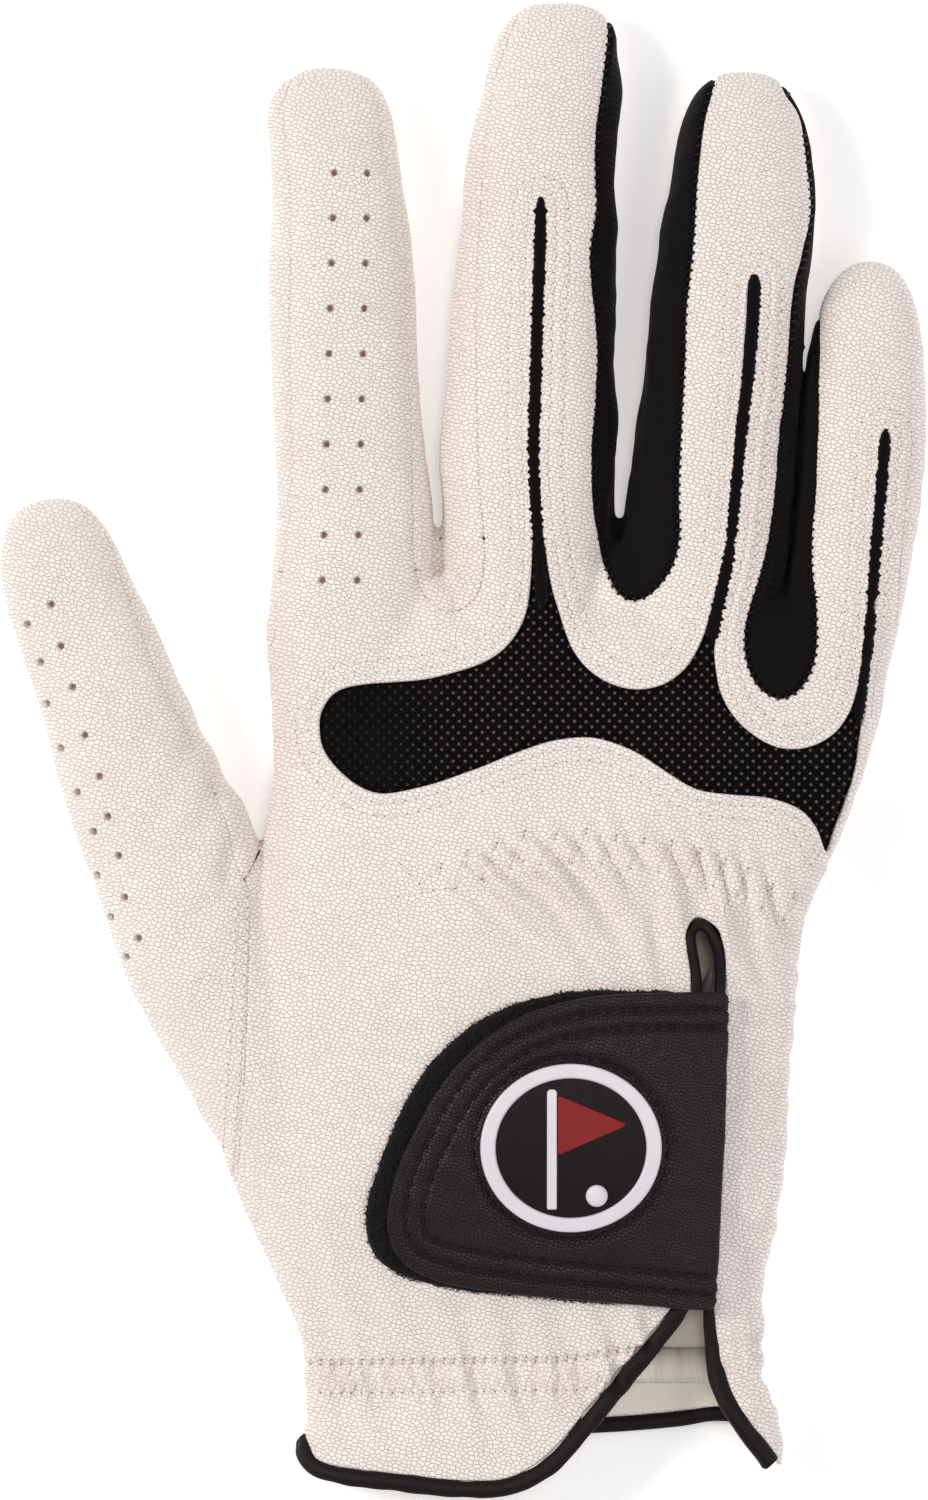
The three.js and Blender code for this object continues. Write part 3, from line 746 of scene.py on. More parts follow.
@dataclass(frozen=True)
class Finish:
    """What a material is made of and how its surface was made.

    Attributes:
        title: the material's name.
        colour: main colour, as sRGB hex.
        tint: the colour of its hollows, painted there as shade (in the mesh, the paler layer that its holes
            show), and of its slow colour changes.
        mark: the colour that each point's shade value mixes in, such as the painted shade inside punched
            holes.
        pattern: how it is made up at close range.
        pitch_mm: size of one cell, thread or rib.
        depth_mm: height of the relief.
        roughness: spread of its reflections.
        sheen: strength of the soft light that a napped surface catches.
        specular: strength of its reflections.
        contrast: how much the hollows take the tint.
        drift: how much the tint also comes and goes over the whole piece.
        glow: how much light the surface gives off itself.
    """

    title: str
    colour: str
    tint: str
    mark: str
    pattern: Pattern
    pitch_mm: float
    depth_mm: float
    roughness: float
    sheen: float = 0.0
    specular: float = 0.5
    contrast: float = 0.5
    drift: float = 0.35
    glow: float = 0.0

    def material(self) -> bpy.types.Material:
        """Builds the material, or returns it if it is already built."""
        ready = bpy.data.materials.get(self.title)
        if ready:
            return ready
        made = bpy.data.materials.new(self.title)
        made.use_nodes = True
        tree = made.node_tree
        shader = tree.nodes["Principled BSDF"]
        place = add_node(tree, "ShaderNodeAttribute", {"attribute_name": "rest"}).outputs["Vector"]
        relief = self._relief(tree, place)
        slow = add_node(
            tree, "ShaderNodeTexNoise",
            {"Scale": DRIFT_SCALE, "Detail": 3.0, "Roughness": 0.6}, {"Vector": place},
        )
        fine = add_node(
            tree, "ShaderNodeTexNoise",
            {"Scale": FINE_CELLS / self.pitch_mm, "Detail": 2.0}, {"Vector": place},
        )
        drift = add_node(
            tree, "ShaderNodeMapRange",
            {"From Min": 0.35, "From Max": 0.75, "To Min": 0.0, "To Max": self.drift},
            {"Value": slow.outputs["Fac"]},
        )
        # The hollows of the pattern take the tint: painted shade in the grain, weave and threads; in the
        # mesh, the paler layer seen through its holes.
        hollow = add_node(
            tree, "ShaderNodeMapRange",
            {"From Min": 0.0, "From Max": 1.0, "To Min": self.contrast, "To Max": 0.0}, {"Value": relief},
        )
        # Each point's shade value mixes in the mark colour, such as the painted shade inside punched holes.
        shade = add_node(tree, "ShaderNodeAttribute", {"attribute_name": "shade"})
        base = add_node(tree, "ShaderNodeRGB")
        base.outputs[0].default_value = linear(self.colour)
        colour = base.outputs[0]
        for amount, over in (
            (drift.outputs["Result"], self.tint),
            (hollow.outputs["Result"], self.tint),
            (shade.outputs["Fac"], self.mark),
        ):
            layer = add_node(
                tree, "ShaderNodeMix", {"data_type": "RGBA"}, {MIX_FACTOR: amount, MIX_FIRST: colour}
            )
            layer.inputs[MIX_SECOND].default_value = linear(over)
            colour = layer.outputs[MIX_COLOUR]
        rough = add_node(
            tree, "ShaderNodeMapRange",
            {
                "From Min": 0.3, "From Max": 0.7,
                "To Min": max(self.roughness - 0.07, 0.05), "To Max": min(self.roughness + 0.09, 1.0),
            },
            {"Value": fine.outputs["Fac"]},
        )
        height = add_node(
            tree, "ShaderNodeMath", {"operation": "MULTIPLY_ADD"}, {0: fine.outputs["Fac"], 2: relief}
        )
        height.inputs[1].default_value = FINE_SHARE
        bump = add_node(
            tree, "ShaderNodeBump",
            {"Strength": 1.0, "Distance": self.depth_mm * MM}, {"Height": height.outputs[0]},
        )
        tree.links.new(colour, shader.inputs["Base Color"])
        tree.links.new(rough.outputs["Result"], shader.inputs["Roughness"])
        tree.links.new(bump.outputs["Normal"], shader.inputs["Normal"])
        for name, value in (
            ("Sheen Weight", self.sheen),
            ("Sheen Roughness", 0.5),
            ("Specular IOR Level", self.specular),
            ("Emission Color", linear(self.colour)),
            ("Emission Strength", self.glow),
        ):
            shader.inputs[name].default_value = value
        return made

    def _relief(self, tree: bpy.types.NodeTree, place: bpy.types.NodeSocket) -> bpy.types.NodeSocket:
        """Builds the pattern's height, from 0 in the hollows to 1 on top.

        Args:
            tree: the material's node tree.
            place: the position in millimetres.

        Returns:
            The socket that gives the height.
        """
        scale = 1.0 / self.pitch_mm
        if self.pattern in CELLULAR:
            turn, stretch, cell_settings, step_settings = CELLULAR[self.pattern]
            view = add_node(
                tree, "ShaderNodeMapping",
                {"Rotation": turn, "Scale": (scale, scale * stretch, 0)}, {"Vector": place},
            )
            cells = add_node(
                tree, "ShaderNodeTexVoronoi",
                {"voronoi_dimensions": "2D", "Scale": 1.0, **cell_settings},
                {"Vector": view.outputs["Vector"]},
            )
            rise = add_node(
                tree, "ShaderNodeMapRange",
                {"interpolation_type": "SMOOTHSTEP", **step_settings},
                {"Value": cells.outputs["Distance"]},
            )
            return rise.outputs["Result"]
        if self.pattern in (Pattern.TWILL, Pattern.RIB):
            turn = math.pi / 4 if self.pattern is Pattern.TWILL else 0.0
            turned = add_node(tree, "ShaderNodeMapping", {"Rotation": (0.5, 0.3, turn)}, {"Vector": place})
            waves = add_node(
                tree, "ShaderNodeTexWave",
                {"Scale": scale * RIBS_PER_UNIT, "Distortion": 0.6, "Detail": 1.0, "Detail Scale": 3.0},
                {"Vector": turned.outputs["Vector"]},
            )
            return waves.outputs["Fac"]
        if self.pattern is Pattern.NAP:
            settings = {"Scale": scale, "Detail": 4.0, "Roughness": 0.75}
        else:
            settings = {"Scale": scale * 0.5, "Detail": 1.0}
        return add_node(tree, "ShaderNodeTexNoise", settings, {"Vector": place}).outputs["Fac"]


# Embossed synthetic leather: fine pebbles that keep it from looking like paper.
WHITE_LEATHER = Finish(
    "synthetic_leather_white_embossed", "#FCF5F1", "#D3BDB2", "#A98C80", Pattern.GRAIN,
    pitch_mm=0.76, depth_mm=0.1, roughness=0.5, drift=0.14,
)
# The brushed inner side of the same leather, a little warmer and quite matt.
LINING = Finish(
    "leather_backing_brushed", "#FFFBF2", "#EFE6D6", "#B8A78C", Pattern.NAP,
    pitch_mm=0.6, depth_mm=0.05, roughness=0.9, sheen=0.2,
)
# Black synthetic leather with a finer grain, which catches a low brownish shine.
BLACK_LEATHER = Finish(
    "synthetic_leather_black_embossed", "#20161A", "#100A0B", "#0C090A", Pattern.GRAIN,
    pitch_mm=0.66, depth_mm=0.15, roughness=0.46, specular=0.3,
)
# Knitted polyester mesh: open holes in staggered rows show the paler layer below.
KNIT_MESH = Finish(
    "polyester_mesh_knitted", "#080606", "#6C6561", "#0A0808", Pattern.KNIT,
    pitch_mm=1.27, depth_mm=0.1, roughness=0.9, specular=0.1, contrast=0.75, drift=0.0,
)
# Stretch twill of the finger sides: diagonal ribs, almost black, with a low sheen.
STRETCH_TWILL = Finish(
    "stretch_twill_black_woven", "#130D0E", "#050303", "#050505", Pattern.TWILL,
    pitch_mm=0.55, depth_mm=0.1, roughness=0.85, sheen=0.03, specular=0.16, contrast=0.8,
)
# Terry strip in the slits: deep loops that swallow the light.
TERRY = Finish(
    "terry_strip_looped", "#0D0A0A", "#030202", "#000000", Pattern.NAP,
    pitch_mm=0.5, depth_mm=0.25, roughness=0.95, sheen=0.05, specular=0.15,
)
# Folded binding tape with a smooth coated face.
TAPE = Finish(
    "binding_tape_coated", "#1C1415", "#0F0B0C", "#050505", Pattern.RIB,
    pitch_mm=0.45, depth_mm=0.04, roughness=0.55, specular=0.2,
)
# Polyester sewing threads, twisted.
WHITE_THREAD = Finish(
    "polyester_thread_white", "#FBF6F2", "#E4D8D0", "#9C8A82", Pattern.RIB,
    pitch_mm=0.2, depth_mm=0.03, roughness=0.6,
)
BLACK_THREAD = Finish(
    "polyester_thread_black", "#0E0A0B", "#050303", "#000000", Pattern.RIB,
    pitch_mm=0.2, depth_mm=0.03, roughness=0.6, specular=0.3,
)
# The shade inside a needle hole in white leather.
NEEDLE_HOLE = Finish(
    "needle_hole_shadow", "#A8958D", "#8A766E", "#3A2C28", Pattern.NAP,
    pitch_mm=0.3, depth_mm=0.02, roughness=0.95,
)
# Loop pile of the closure, a napped black that sparkles where loops catch light.
PILE = Finish(
    "loop_pile_nylon", "#151112", "#060404", "#000000", Pattern.NAP,
    pitch_mm=0.4, depth_mm=0.2, roughness=0.7, sheen=0.08, specular=0.3,
)
# Moulded rubber badge parts with a satin face.
BADGE_WHITE = Finish(
    "moulded_rubber_white", "#E9E3EA", "#D8D0DA", "#9E96A0", Pattern.SMOOTH,
    pitch_mm=2.0, depth_mm=0.02, roughness=0.38,
)
BADGE_DARK = Finish(
    "moulded_rubber_charcoal", "#170F11", "#120C0E", "#100C0D", Pattern.SMOOTH,
    pitch_mm=2.0, depth_mm=0.02, roughness=0.42, specular=0.16,
)
BADGE_RED = Finish(
    "moulded_rubber_red", "#8C2224", "#7A1C1E", "#4A1213", Pattern.SMOOTH,
    pitch_mm=2.0, depth_mm=0.02, roughness=0.42, specular=0.2,
)
# Woven rubber elastic inside the cuff.
ELASTIC = Finish(
    "elastic_band_woven", "#FDF9F2", "#F2EBE0", "#8F8678", Pattern.RIB,
    pitch_mm=0.9, depth_mm=0.06, roughness=0.8,
)
# Satin label ribbon.
LABEL = Finish(
    "label_ribbon_satin", "#8A8889", "#6F6D6E", "#555354", Pattern.RIB,
    pitch_mm=0.35, depth_mm=0.03, roughness=0.45,
)
# White floor that gives off a little light of its own, a painted glow, so that shadows on it stay pale.
FLOOR = Finish(
    "white_floor_painted_glow", "#FFFFFF", "#FDFDFD", "#EEEEEE", Pattern.SMOOTH,
    pitch_mm=40.0, depth_mm=0.01, roughness=0.9, glow=0.26,
)


# --- making Blender objects
def make_object(name: str, solid: Solid, outer: Finish, inner: Finish | None = None) -> bpy.types.Object:
    """Makes a Blender object from a solid.

    Args:
        name: the object's name.
        solid: its mesh, in millimetres.
        outer: the finish of its outer faces.
        inner: the finish of its lining, if that differs.

    Returns:
        The new object.
    """
    mesh = bpy.data.meshes.new(name)
    count = len(solid.faces)
    mesh.vertices.add(len(solid.points))
    mesh.vertices.foreach_set("co", (solid.points * MM).astype(np.float32).ravel())
    mesh.loops.add(count * 3)
    mesh.loops.foreach_set("vertex_index", solid.faces.astype(np.int32).ravel())
    mesh.polygons.add(count)
    mesh.polygons.foreach_set("loop_start", np.arange(0, count * 3, 3, dtype=np.int32))
    mesh.materials.append(outer.material())
    if inner is not None:
        mesh.materials.append(inner.material())
        mesh.polygons.foreach_set("material_index", solid.lining.astype(np.int32))
    mesh.update(calc_edges=True)
    mesh.validate()
    mesh.polygons.foreach_set("use_smooth", np.ones(len(mesh.polygons), bool))
    if len(mesh.vertices) == len(solid.normals):
        mesh.normals_split_custom_set_from_vertices(solid.normals.tolist())
    rest = mesh.attributes.new("rest", "FLOAT_VECTOR", "POINT")
    rest.data.foreach_set("vector", solid.points.astype(np.float32).ravel())
    shade = mesh.attributes.new("shade", "FLOAT", "POINT")
    shade.data.foreach_set("value", np.clip(solid.shade, 0, 1).astype(np.float32))
    made = bpy.data.objects.new(name, mesh)
    bpy.context.collection.objects.link(made)
    return made


# --- the filled glove
SEAT = 0.42
PALM_SEAM_Z = 3.4


@dataclass(frozen=True)
class Tube:
    """A digit, or the hand, as a stack of rows across it.

    Attributes:
        rows: y, left edge, right edge and thickness of each row.
        sides: corners of the section.
        end_thickness: the thickness that sets the height of the closed end.
    """

    rows: Points
    sides: int = 56
    end_thickness: float = 14.0

    def edges(self, y: Array) -> tuple[Array, Array]:
        """Gives the left and right edge at each y."""
        table = np.array(self.rows)
        return np.interp(y, table[:, 0], table[:, 1]), np.interp(y, table[:, 0], table[:, 2])

    def mesh(self) -> tuple[Array, Array]:
        """Lofts the rows.

        Returns:
            The points and the four-sided faces of a closed body.
        """
        rows = curve_through(np.array(self.rows), False, 5)
        angle = np.linspace(0, 2 * math.pi, self.sides, endpoint=False)
        c, s = np.cos(angle), np.sin(angle)
        side, rise = np.sign(c) * np.abs(c) ** 0.82, np.abs(s) ** 0.82
        middle, half = (rows[:, 1] + rows[:, 2]) / 2, (rows[:, 2] - rows[:, 1]) / 2
        thick = rows[:, 3]
        seat = SEAT * np.maximum(thick, self.end_thickness)
        up = thick * (1 - SEAT)
        down = np.minimum(1, 1.15 * rise)[None] * (thick * SEAT)[:, None]
        x = middle[:, None] + half[:, None] * side[None]
        z = np.where(s[None] >= 0, seat[:, None] + up[:, None] * rise[None], seat[:, None] - down)
        y = np.broadcast_to(rows[:, 0:1], x.shape)
        points = np.stack([x, y, z], -1).reshape(-1, 3)
        n, m = len(rows), self.sides
        k, i = np.meshgrid(np.arange(m), np.arange(n - 1))
        a, b = i * m + k, i * m + (k + 1) % m
        faces = np.stack([a, a + m, b + m, b], -1).reshape(-1, 4)
        return points, faces

    def underside(self, x: Array, y: float) -> Array:
        """Finds the outer face on the palm side.

        Args:
            x: places across the tube.
            y: the row that they lie on.

        Returns:
            The height of each place.
        """
        left, right = self.edges(np.array([y]))
        thick = np.interp(y, *np.array(self.rows)[:, [0, 3]].T)
        across = np.clip(np.abs(2 * x - left - right) / (right - left), 0, 1)
        rise = (1 - across ** (2 / 0.82)) ** 0.41
        return SEAT * (self.end_thickness - thick * np.minimum(1, 1.15 * rise))

    def closed(self, start: int) -> tuple[Array, list[list[int]]]:
        """Adds the end faces.

        Args:
            start: the index that the first point will have.

        Returns:
            The points and all faces.
        """
        points, faces = self.mesh()
        ring = list(range(self.sides))
        last = [len(points) - self.sides + k for k in ring]
        whole = [list(face) for face in faces] + [ring, last[::-1]]
        return points, [[start + k for k in face] for face in whole]


@dataclass(frozen=True)
class Digit:
    """A digit: its shape, and the fold where it lifts.

    Attributes:
        tube: its shape.
        fold: the middle of the fold line.
        ahead: the direction from the fold to the tip.
        margin: room on each side that still counts as this digit.
        bend_before: length of the fold before its middle.
        bend_after: length of the fold after its middle.
    """

    tube: Tube
    fold: tuple[float, float]
    ahead: tuple[float, float]
    margin: float = 0.9
    bend_before: float = 6.0
    bend_after: float = 11.0

    def zone(self, xy: Array) -> Array:
        """Measures points against the digit's own part, from the start of its fold: negative inside it."""
        ahead = unit(np.array([self.ahead]))[0]
        start = np.array(self.fold) - ahead * self.bend_before
        beyond = (xy - start) @ ahead
        left, right = self.tube.edges(xy[:, 1])
        beside = left - self.margin - xy[:, 0], xy[:, 0] - right - self.margin
        return np.maximum(np.maximum(-beyond, beside[0]), beside[1])

    def bend(self) -> tuple[Vector, Vector]:
        """Gives the places where the fold starts and ends, in the shared frame."""
        ahead = unit(np.array([self.ahead]))[0]
        ends = [np.array(self.fold) + ahead * step for step in (-self.bend_before, self.bend_after)]
        return tuple(Vector((*(end * MM), 0.0)) for end in ends)


DIGITS: dict[str, Digit] = {
    "thumb": Digit(Tube((
        (-74, -31, -20, 13), (-62, -37.6, -21, 16.5), (-51.6, -44.2, -23, 18),
        (-42.2, -49.6, -25, 18.6), (-32.8, -53.6, -28, 18.6), (-23.4, -57.1, -30.5, 18.4),
        (-14.1, -60.4, -32.5, 18), (-9.4, -62, -34.1, 17.8), (-4.7, -63.3, -36.8, 17.5),
        (0, -64.6, -39.2, 17.2), (9.4, -67.2, -43.8, 16.5), (18.8, -70.1, -48.1, 15.6),
        (25.5, -72, -51.4, 15), (30.5, -72.5, -53.7, 14), (34.5, -71.7, -55.8, 12),
        (37.2, -70, -58, 9), (38.9, -67.4, -60.4, 5.6), (39.4, -65.4, -62.6, 3),
    )), fold=(-50.4, -4.5), ahead=(-0.336, 0.942), margin=1.4),
    "index": Digit(Tube((
        (-16, -27, -8, 12), (-4, -29, -6.5, 16), (8, -30.2, -5.6, 17.6), (18.8, -30.5, -5, 17.6),
        (28, -30, -4.7, 17.5), (37.5, -29.5, -4.9, 17.2), (46.9, -29.5, -6.3, 17),
        (56.2, -30, -7, 16.8), (65.6, -30.5, -7.3, 16.5), (75, -30.8, -7.8, 16.2),
        (84.4, -30.1, -9, 15.8), (92, -30.2, -10, 15.2), (98.4, -30.6, -11, 14),
        (102, -29.9, -12.2, 12), (104.6, -28, -14, 9), (106.2, -25.2, -17.2, 5.6),
        (106.8, -23, -20, 3),
    )), fold=(-17.3, 33.9), ahead=(-0.011, 1.0), margin=1.0),
    "middle": Digit(Tube((
        (-16, 0, 18, 13), (-4, -2, 21, 16.5), (8, -3.2, 22.8, 18), (20, -3.2, 23.2, 18),
        (28, -3.1, 23.2, 17.9), (37.5, -3.2, 23.4, 17.6), (46.9, -3.7, 24.1, 17.4),
        (56.2, -2.8, 24, 17.2), (65.6, -2.2, 23.4, 17), (75, -1.4, 23.6, 16.8),
        (84.4, -0.3, 23.9, 16.5), (93.8, 0.5, 24, 16), (101, 2.5, 24.7, 15.4), (107.8, 4, 24.2, 14),
        (111.5, 5.2, 23.9, 12), (114.4, 7.2, 22.5, 9), (116.3, 9.6, 19.8, 5.4), (116.9, 12, 17.2, 3),
    )), fold=(10.2, 39.0), ahead=(0.017, 1.0), margin=1.0),
    "ring": Digit(Tube((
        (-16, 24, 42, 13), (-4, 23, 45, 16.5), (8, 23.4, 47.4, 18), (20, 24.2, 49.2, 17.8),
        (28, 24.6, 50, 17.6), (37.5, 25.1, 50.9, 17.4), (46.9, 26.3, 51.5, 17.2),
        (56.2, 27.8, 52.2, 17), (65.6, 28.9, 53, 16.6), (75, 30.2, 54.4, 16.2),
        (84.4, 31.6, 54.8, 15.8), (91, 32.6, 54.4, 15.3), (96.5, 33.6, 53.6, 14.3),
        (100.6, 35, 52.4, 12.4), (103.6, 36.9, 50.6, 9.4), (105.4, 39.4, 48, 5.6),
        (106, 41.6, 45.4, 3),
    )), fold=(38.0, 38.7), ahead=(0.0885, 0.996), margin=0.6),
    "little": Digit(Tube((
        (-20, 43, 55, 11), (-10, 44, 59, 14), (0, 45.6, 63.2, 16), (9.4, 47.4, 65.6, 16.4),
        (18.8, 49.4, 68.1, 16.4), (28.1, 51.2, 69.8, 16.2), (37.5, 52.2, 71.4, 15.8),
        (46.9, 52.7, 72.2, 15.4), (56.2, 53.4, 72.2, 15), (62, 54.2, 71.8, 14.4),
        (67, 55.2, 71.2, 13.4), (70.6, 56.2, 70.2, 12), (73.4, 57.8, 69, 9.4), (75.6, 60, 67, 5.6),
        (76.4, 62, 65, 3),
    )), fold=(60.6, 29.2), ahead=(0.143, 0.99), margin=0.6),
}
PALM = Tube((
    (-124, -26.5, 50, 14), (-112, -26.4, 50.2, 14), (-103.1, -24.8, 49.2, 14),
    (-98, -24.9, 47.4, 13.4), (-93.8, -25, 46.8, 13.6), (-89.1, -26, 47, 15),
    (-84.4, -28.5, 46.4, 16), (-79.7, -30.7, 47.7, 17.2), (-75, -33, 49, 18),
    (-65.6, -36.6, 50.2, 19.4), (-56.2, -38.6, 50.8, 20.2), (-46.9, -38.6, 51.4, 20.7),
    (-37.5, -36.8, 51.9, 21), (-28.1, -33.4, 52.9, 21), (-18.8, -31.6, 56.6, 20.8),
    (-9.4, -30.6, 60.3, 20.4), (0, -30, 63.4, 20), (11, -30.2, 65.6, 19), (18, -28.5, 64, 17.5),
    (22.5, -25, 59, 15), (25.5, -19, 52, 11), (27, -12, 44, 6),
), sides=120, end_thickness=16.0)
# Rounded webs between the fingers: x, y, half width, half length, half height.
WEBS = (
    (-3.8, 18.5, 5.5, 9, 8.2), (24.8, 21.5, 7, 11.5, 8), (50.0, 11.5, 5.5, 10, 7.6),
)


# --- seams, seen from above
OUTLINES: dict[str, Outline] = {
    "gap_index_middle": Outline((
        (-13.5, 109), (-11.4, 99), (-10, 88), (-8.9, 76), (-8.3, 62), (-8, 48), (-7.9, 37), (-7.6, 30.1),
        (-6.2, 24.5), (-4, 22.2), (-1.7, 21.7), (0.6, 22.6), (2.3, 24.8), (3, 28), (3.1, 33), (2.2, 42),
        (1.8, 54), (1.6, 66), (2, 80), (2.9, 93), (4.4, 104), (7, 112), (9.5, 121), (-2, 124),
    )),
    "gap_middle_ring": Outline((
        (21.4, 121), (22.6, 113), (22.3, 109), (21.7, 103), (20.9, 97), (20.6, 90), (20.7, 84),
        (19.8, 78), (20.2, 72), (20.9, 65), (20.8, 56), (20.2, 48), (20.3, 40), (21.1, 34), (22.3, 28),
        (23.6, 25), (25.6, 23.5), (27.6, 23.6), (29.6, 25), (32.3, 28.4), (33.5, 33), (33.4, 39),
        (33.8, 50), (34.3, 60), (34.6, 69), (35.7, 78), (36.1, 87), (36.6, 94), (37.7, 100),
        (38.9, 103.8), (41.4, 112), (31, 122),
    )),
    "gap_ring_little": Outline((
        (47.5, 110), (50.2, 103), (52.2, 100), (53.3, 94), (54.1, 84), (53.3, 78), (51.8, 72), (50.9, 63),
        (49.8, 53), (48.8, 41), (47.6, 32), (45.9, 26), (44.4, 21), (43.8, 16), (44.7, 12), (46.6, 9.3),
        (49.4, 8), (52.2, 9.3), (54.1, 12.4), (54.9, 16), (54.8, 22), (54.2, 29), (54.6, 40), (55.1, 52),
        (55.3, 65), (55.8, 70), (57, 73.4), (59.6, 75.4), (60.6, 82), (56, 104),
    )),
    "index_side": Outline((
        (-26, 110), (-28.4, 101), (-27.6, 93), (-27.3, 80), (-27.4, 66), (-27.2, 52), (-27.4, 41),
        (-28.2, 33), (-29.1, 25), (-30.2, 16), (-36, 15), (-38, 66), (-34, 108),
    )),
    "thumb_side": Outline((
        (-62.6, 43), (-60.4, 38.6), (-56.8, 35.4), (-53.7, 28), (-50.4, 19), (-47.4, 11.4), (-43.4, 3.6),
        (-40.1, -2), (-37.6, -9), (-35.4, -16), (-34, -20), (-32.2, -17), (-31.8, -12), (-36, 4),
        (-48, 40),
    )),
    "thumb_panel": Outline((
        (-33.6, -20), (-33.2, -24), (-33.4, -34), (-33.9, -46), (-34.6, -56), (-35.4, -64), (-37, -70),
        (-60, -60), (-90, -10), (-90, 50), (-60, 52), (-40, 40), (-36, 4), (-31.8, -12), (-32.2, -16),
    )),
    "mesh": Outline((
        (-22.7, 3.1), (-22.2, 6.2), (-19.4, 9.3), (-13, 10.5), (-6, 11.2), (-0.5, 12.5), (3.4, 13.9),
        (6.1, 15.7), (8.6, 18.8), (9.8, 22), (10.4, 26), (10.7, 31), (10.8, 37.5), (10.4, 47), (10.4, 56),
        (10.8, 69), (11.2, 81), (11.8, 86), (12.3, 86), (12.7, 81), (12.2, 69), (11.9, 56), (11.5, 47),
        (11.8, 37.5), (12.7, 31), (13.8, 25), (14.7, 22), (15.7, 18.8), (17, 15.6), (19.5, 12.5),
        (23, 10.3), (27, 9.5), (31, 10.3), (34.2, 12.5), (36.3, 15.6), (37.7, 18.8), (38.6, 22),
        (39.6, 26), (40.8, 31), (41.5, 37.5), (42.1, 44), (42.5, 50), (43.3, 57), (44, 66), (44.8, 74),
        (45.9, 73.8), (46, 70), (45.4, 62), (44.8, 56), (43.9, 50), (43.2, 44), (42.6, 37.5), (41.9, 31),
        (40.7, 26), (39.8, 22), (39.2, 18), (39.1, 14), (39.8, 9.6), (41.4, 6.2), (44.2, 3.1), (49, 0.4),
        (53.8, 0.4), (58, 2.8), (60.2, 6.2), (61.5, 10), (62.4, 15.6), (63, 22), (63.5, 30), (64.1, 37.5),
        (64.8, 44), (65.3, 49.6), (66.2, 49.4), (65.9, 44), (65.3, 37.5), (64.6, 30), (64.1, 22),
        (63.3, 15.6), (62.4, 9.4), (61.9, 3.1), (61, -3.1), (59.6, -8.5), (58, -12.5), (56.9, -16),
        (55.4, -12.6), (53, -9.6), (47.8, -7.5), (42, -7), (36.2, -6.1), (31.1, -3.1), (26.1, 0), (20, 2),
        (14.6, 1.6), (9.7, 0.2), (1.7, -3), (-5, -5.3), (-12.3, -6.8), (-16, -5.8), (-19.4, -3.3),
        (-21.9, -0.2),
    ), 4),
    "vent": Outline((
        (34.7, -28.4), (36.5, -26.1), (38.6, -27.4), (40.1, -30.6), (40.7, -36), (40.7, -50), (40.1, -66),
        (39.2, -78), (38.9, -86), (39.3, -91), (40.1, -96.4), (42.1, -101.8), (45.2, -106.4),
        (49.4, -111.2), (58, -121), (50, -130), (16, -130), (-30, -130), (-34, -113), (-28.3, -107),
        (-25.6, -110.6), (-20, -111.8), (-10, -113), (0, -114), (6.8, -113.6), (12, -110.8),
        (16.4, -106.4), (21.4, -100), (27, -93.6), (31.4, -88.4), (33.8, -84.6), (34.9, -78), (35.3, -62),
        (35.5, -46), (35.4, -36), (34.7, -31),
    )),
    "palm_cuff": Outline((
        (-34, -107.4), (-26.5, -106.8), (-12, -105.6), (6, -105), (22, -104.6), (34, -103.6),
        (40, -102.8), (46, -103), (58, -104), (58, -140), (-34, -140),
    )),
    "patch": Outline((
        (33.6, -38.4), (26, -37.6), (17.5, -37.6), (10, -39), (5, -40.8), (0.2, -43.7), (-3.4, -46.9),
        (-6.2, -50.1), (-9.6, -56.1), (-12.3, -62.3), (-13.6, -66), (-14.7, -69.4), (-15.1, -73.4),
        (-14.5, -77), (-12.4, -80), (-8, -82.2), (0, -84), (9.1, -84.9), (25, -86), (30.8, -84.6),
        (33.6, -77), (34.2, -50),
    )),
    "tab": Outline((
        (38.4, -86.7), (38.6, -86.2), (39.2, -76), (39.9, -62), (40.4, -48), (40.6, -38.6), (40.5, -37.9),
        (40, -37.7), (30, -37.7), (20, -38.3), (13, -39.8), (7, -42.2), (1, -46.6), (-3.6, -52),
        (-7, -58), (-9.8, -64), (-11.4, -69.6), (-11.7, -74), (-10.2, -78.4), (-6.8, -81), (-2, -82.6),
        (8, -84.2), (22, -85.7), (37.6, -87.2), (38.1, -87.1),
    )),
    "hook": Outline((
        (36.8, -41), (24, -40.8), (13, -42.2), (5, -46), (-1, -51), (-5.4, -58.4), (-8.2, -66),
        (-9, -72.4), (-7.4, -76.6), (-2.6, -79.6), (10, -81.2), (24, -82.8), (34.8, -84), (35.8, -72),
        (36.6, -56),
    )),
    # A golf flag: a three-cornered pennant on a pin.
    "pennant": Outline((
        (14.6, -54), (14.9, -53.7), (24.8, -57.9), (25, -58.2), (24.8, -58.5), (14.9, -62.8),
        (14.6, -62.5),
    ), 1),
    "pin": Outline((
        (13, -53.1), (13.3, -52.8), (14, -52.8), (14.3, -53.1), (14.3, -71.2), (13, -71.2),
    ), 1),
}
# These lie on the flat of the back, or cut straight down.
FLAT_OUTLINES = ("mesh", "patch", "tab", "hook", "pennant", "pin")
# The part of the tab's outline that isn't sewn down, which its stitching follows.
TAB_FREE_EDGE = Line(((40.6, -37.7), *OUTLINES["tab"].corners[8:23], (38.4, -87.2)))
BADGE_CENTRE = (16.6, -61.8)
BADGE_RADII = (14.0, 13.0)
BALL_CENTRE = (20.6, -69.2)
BALL_RADIUS = 1.7

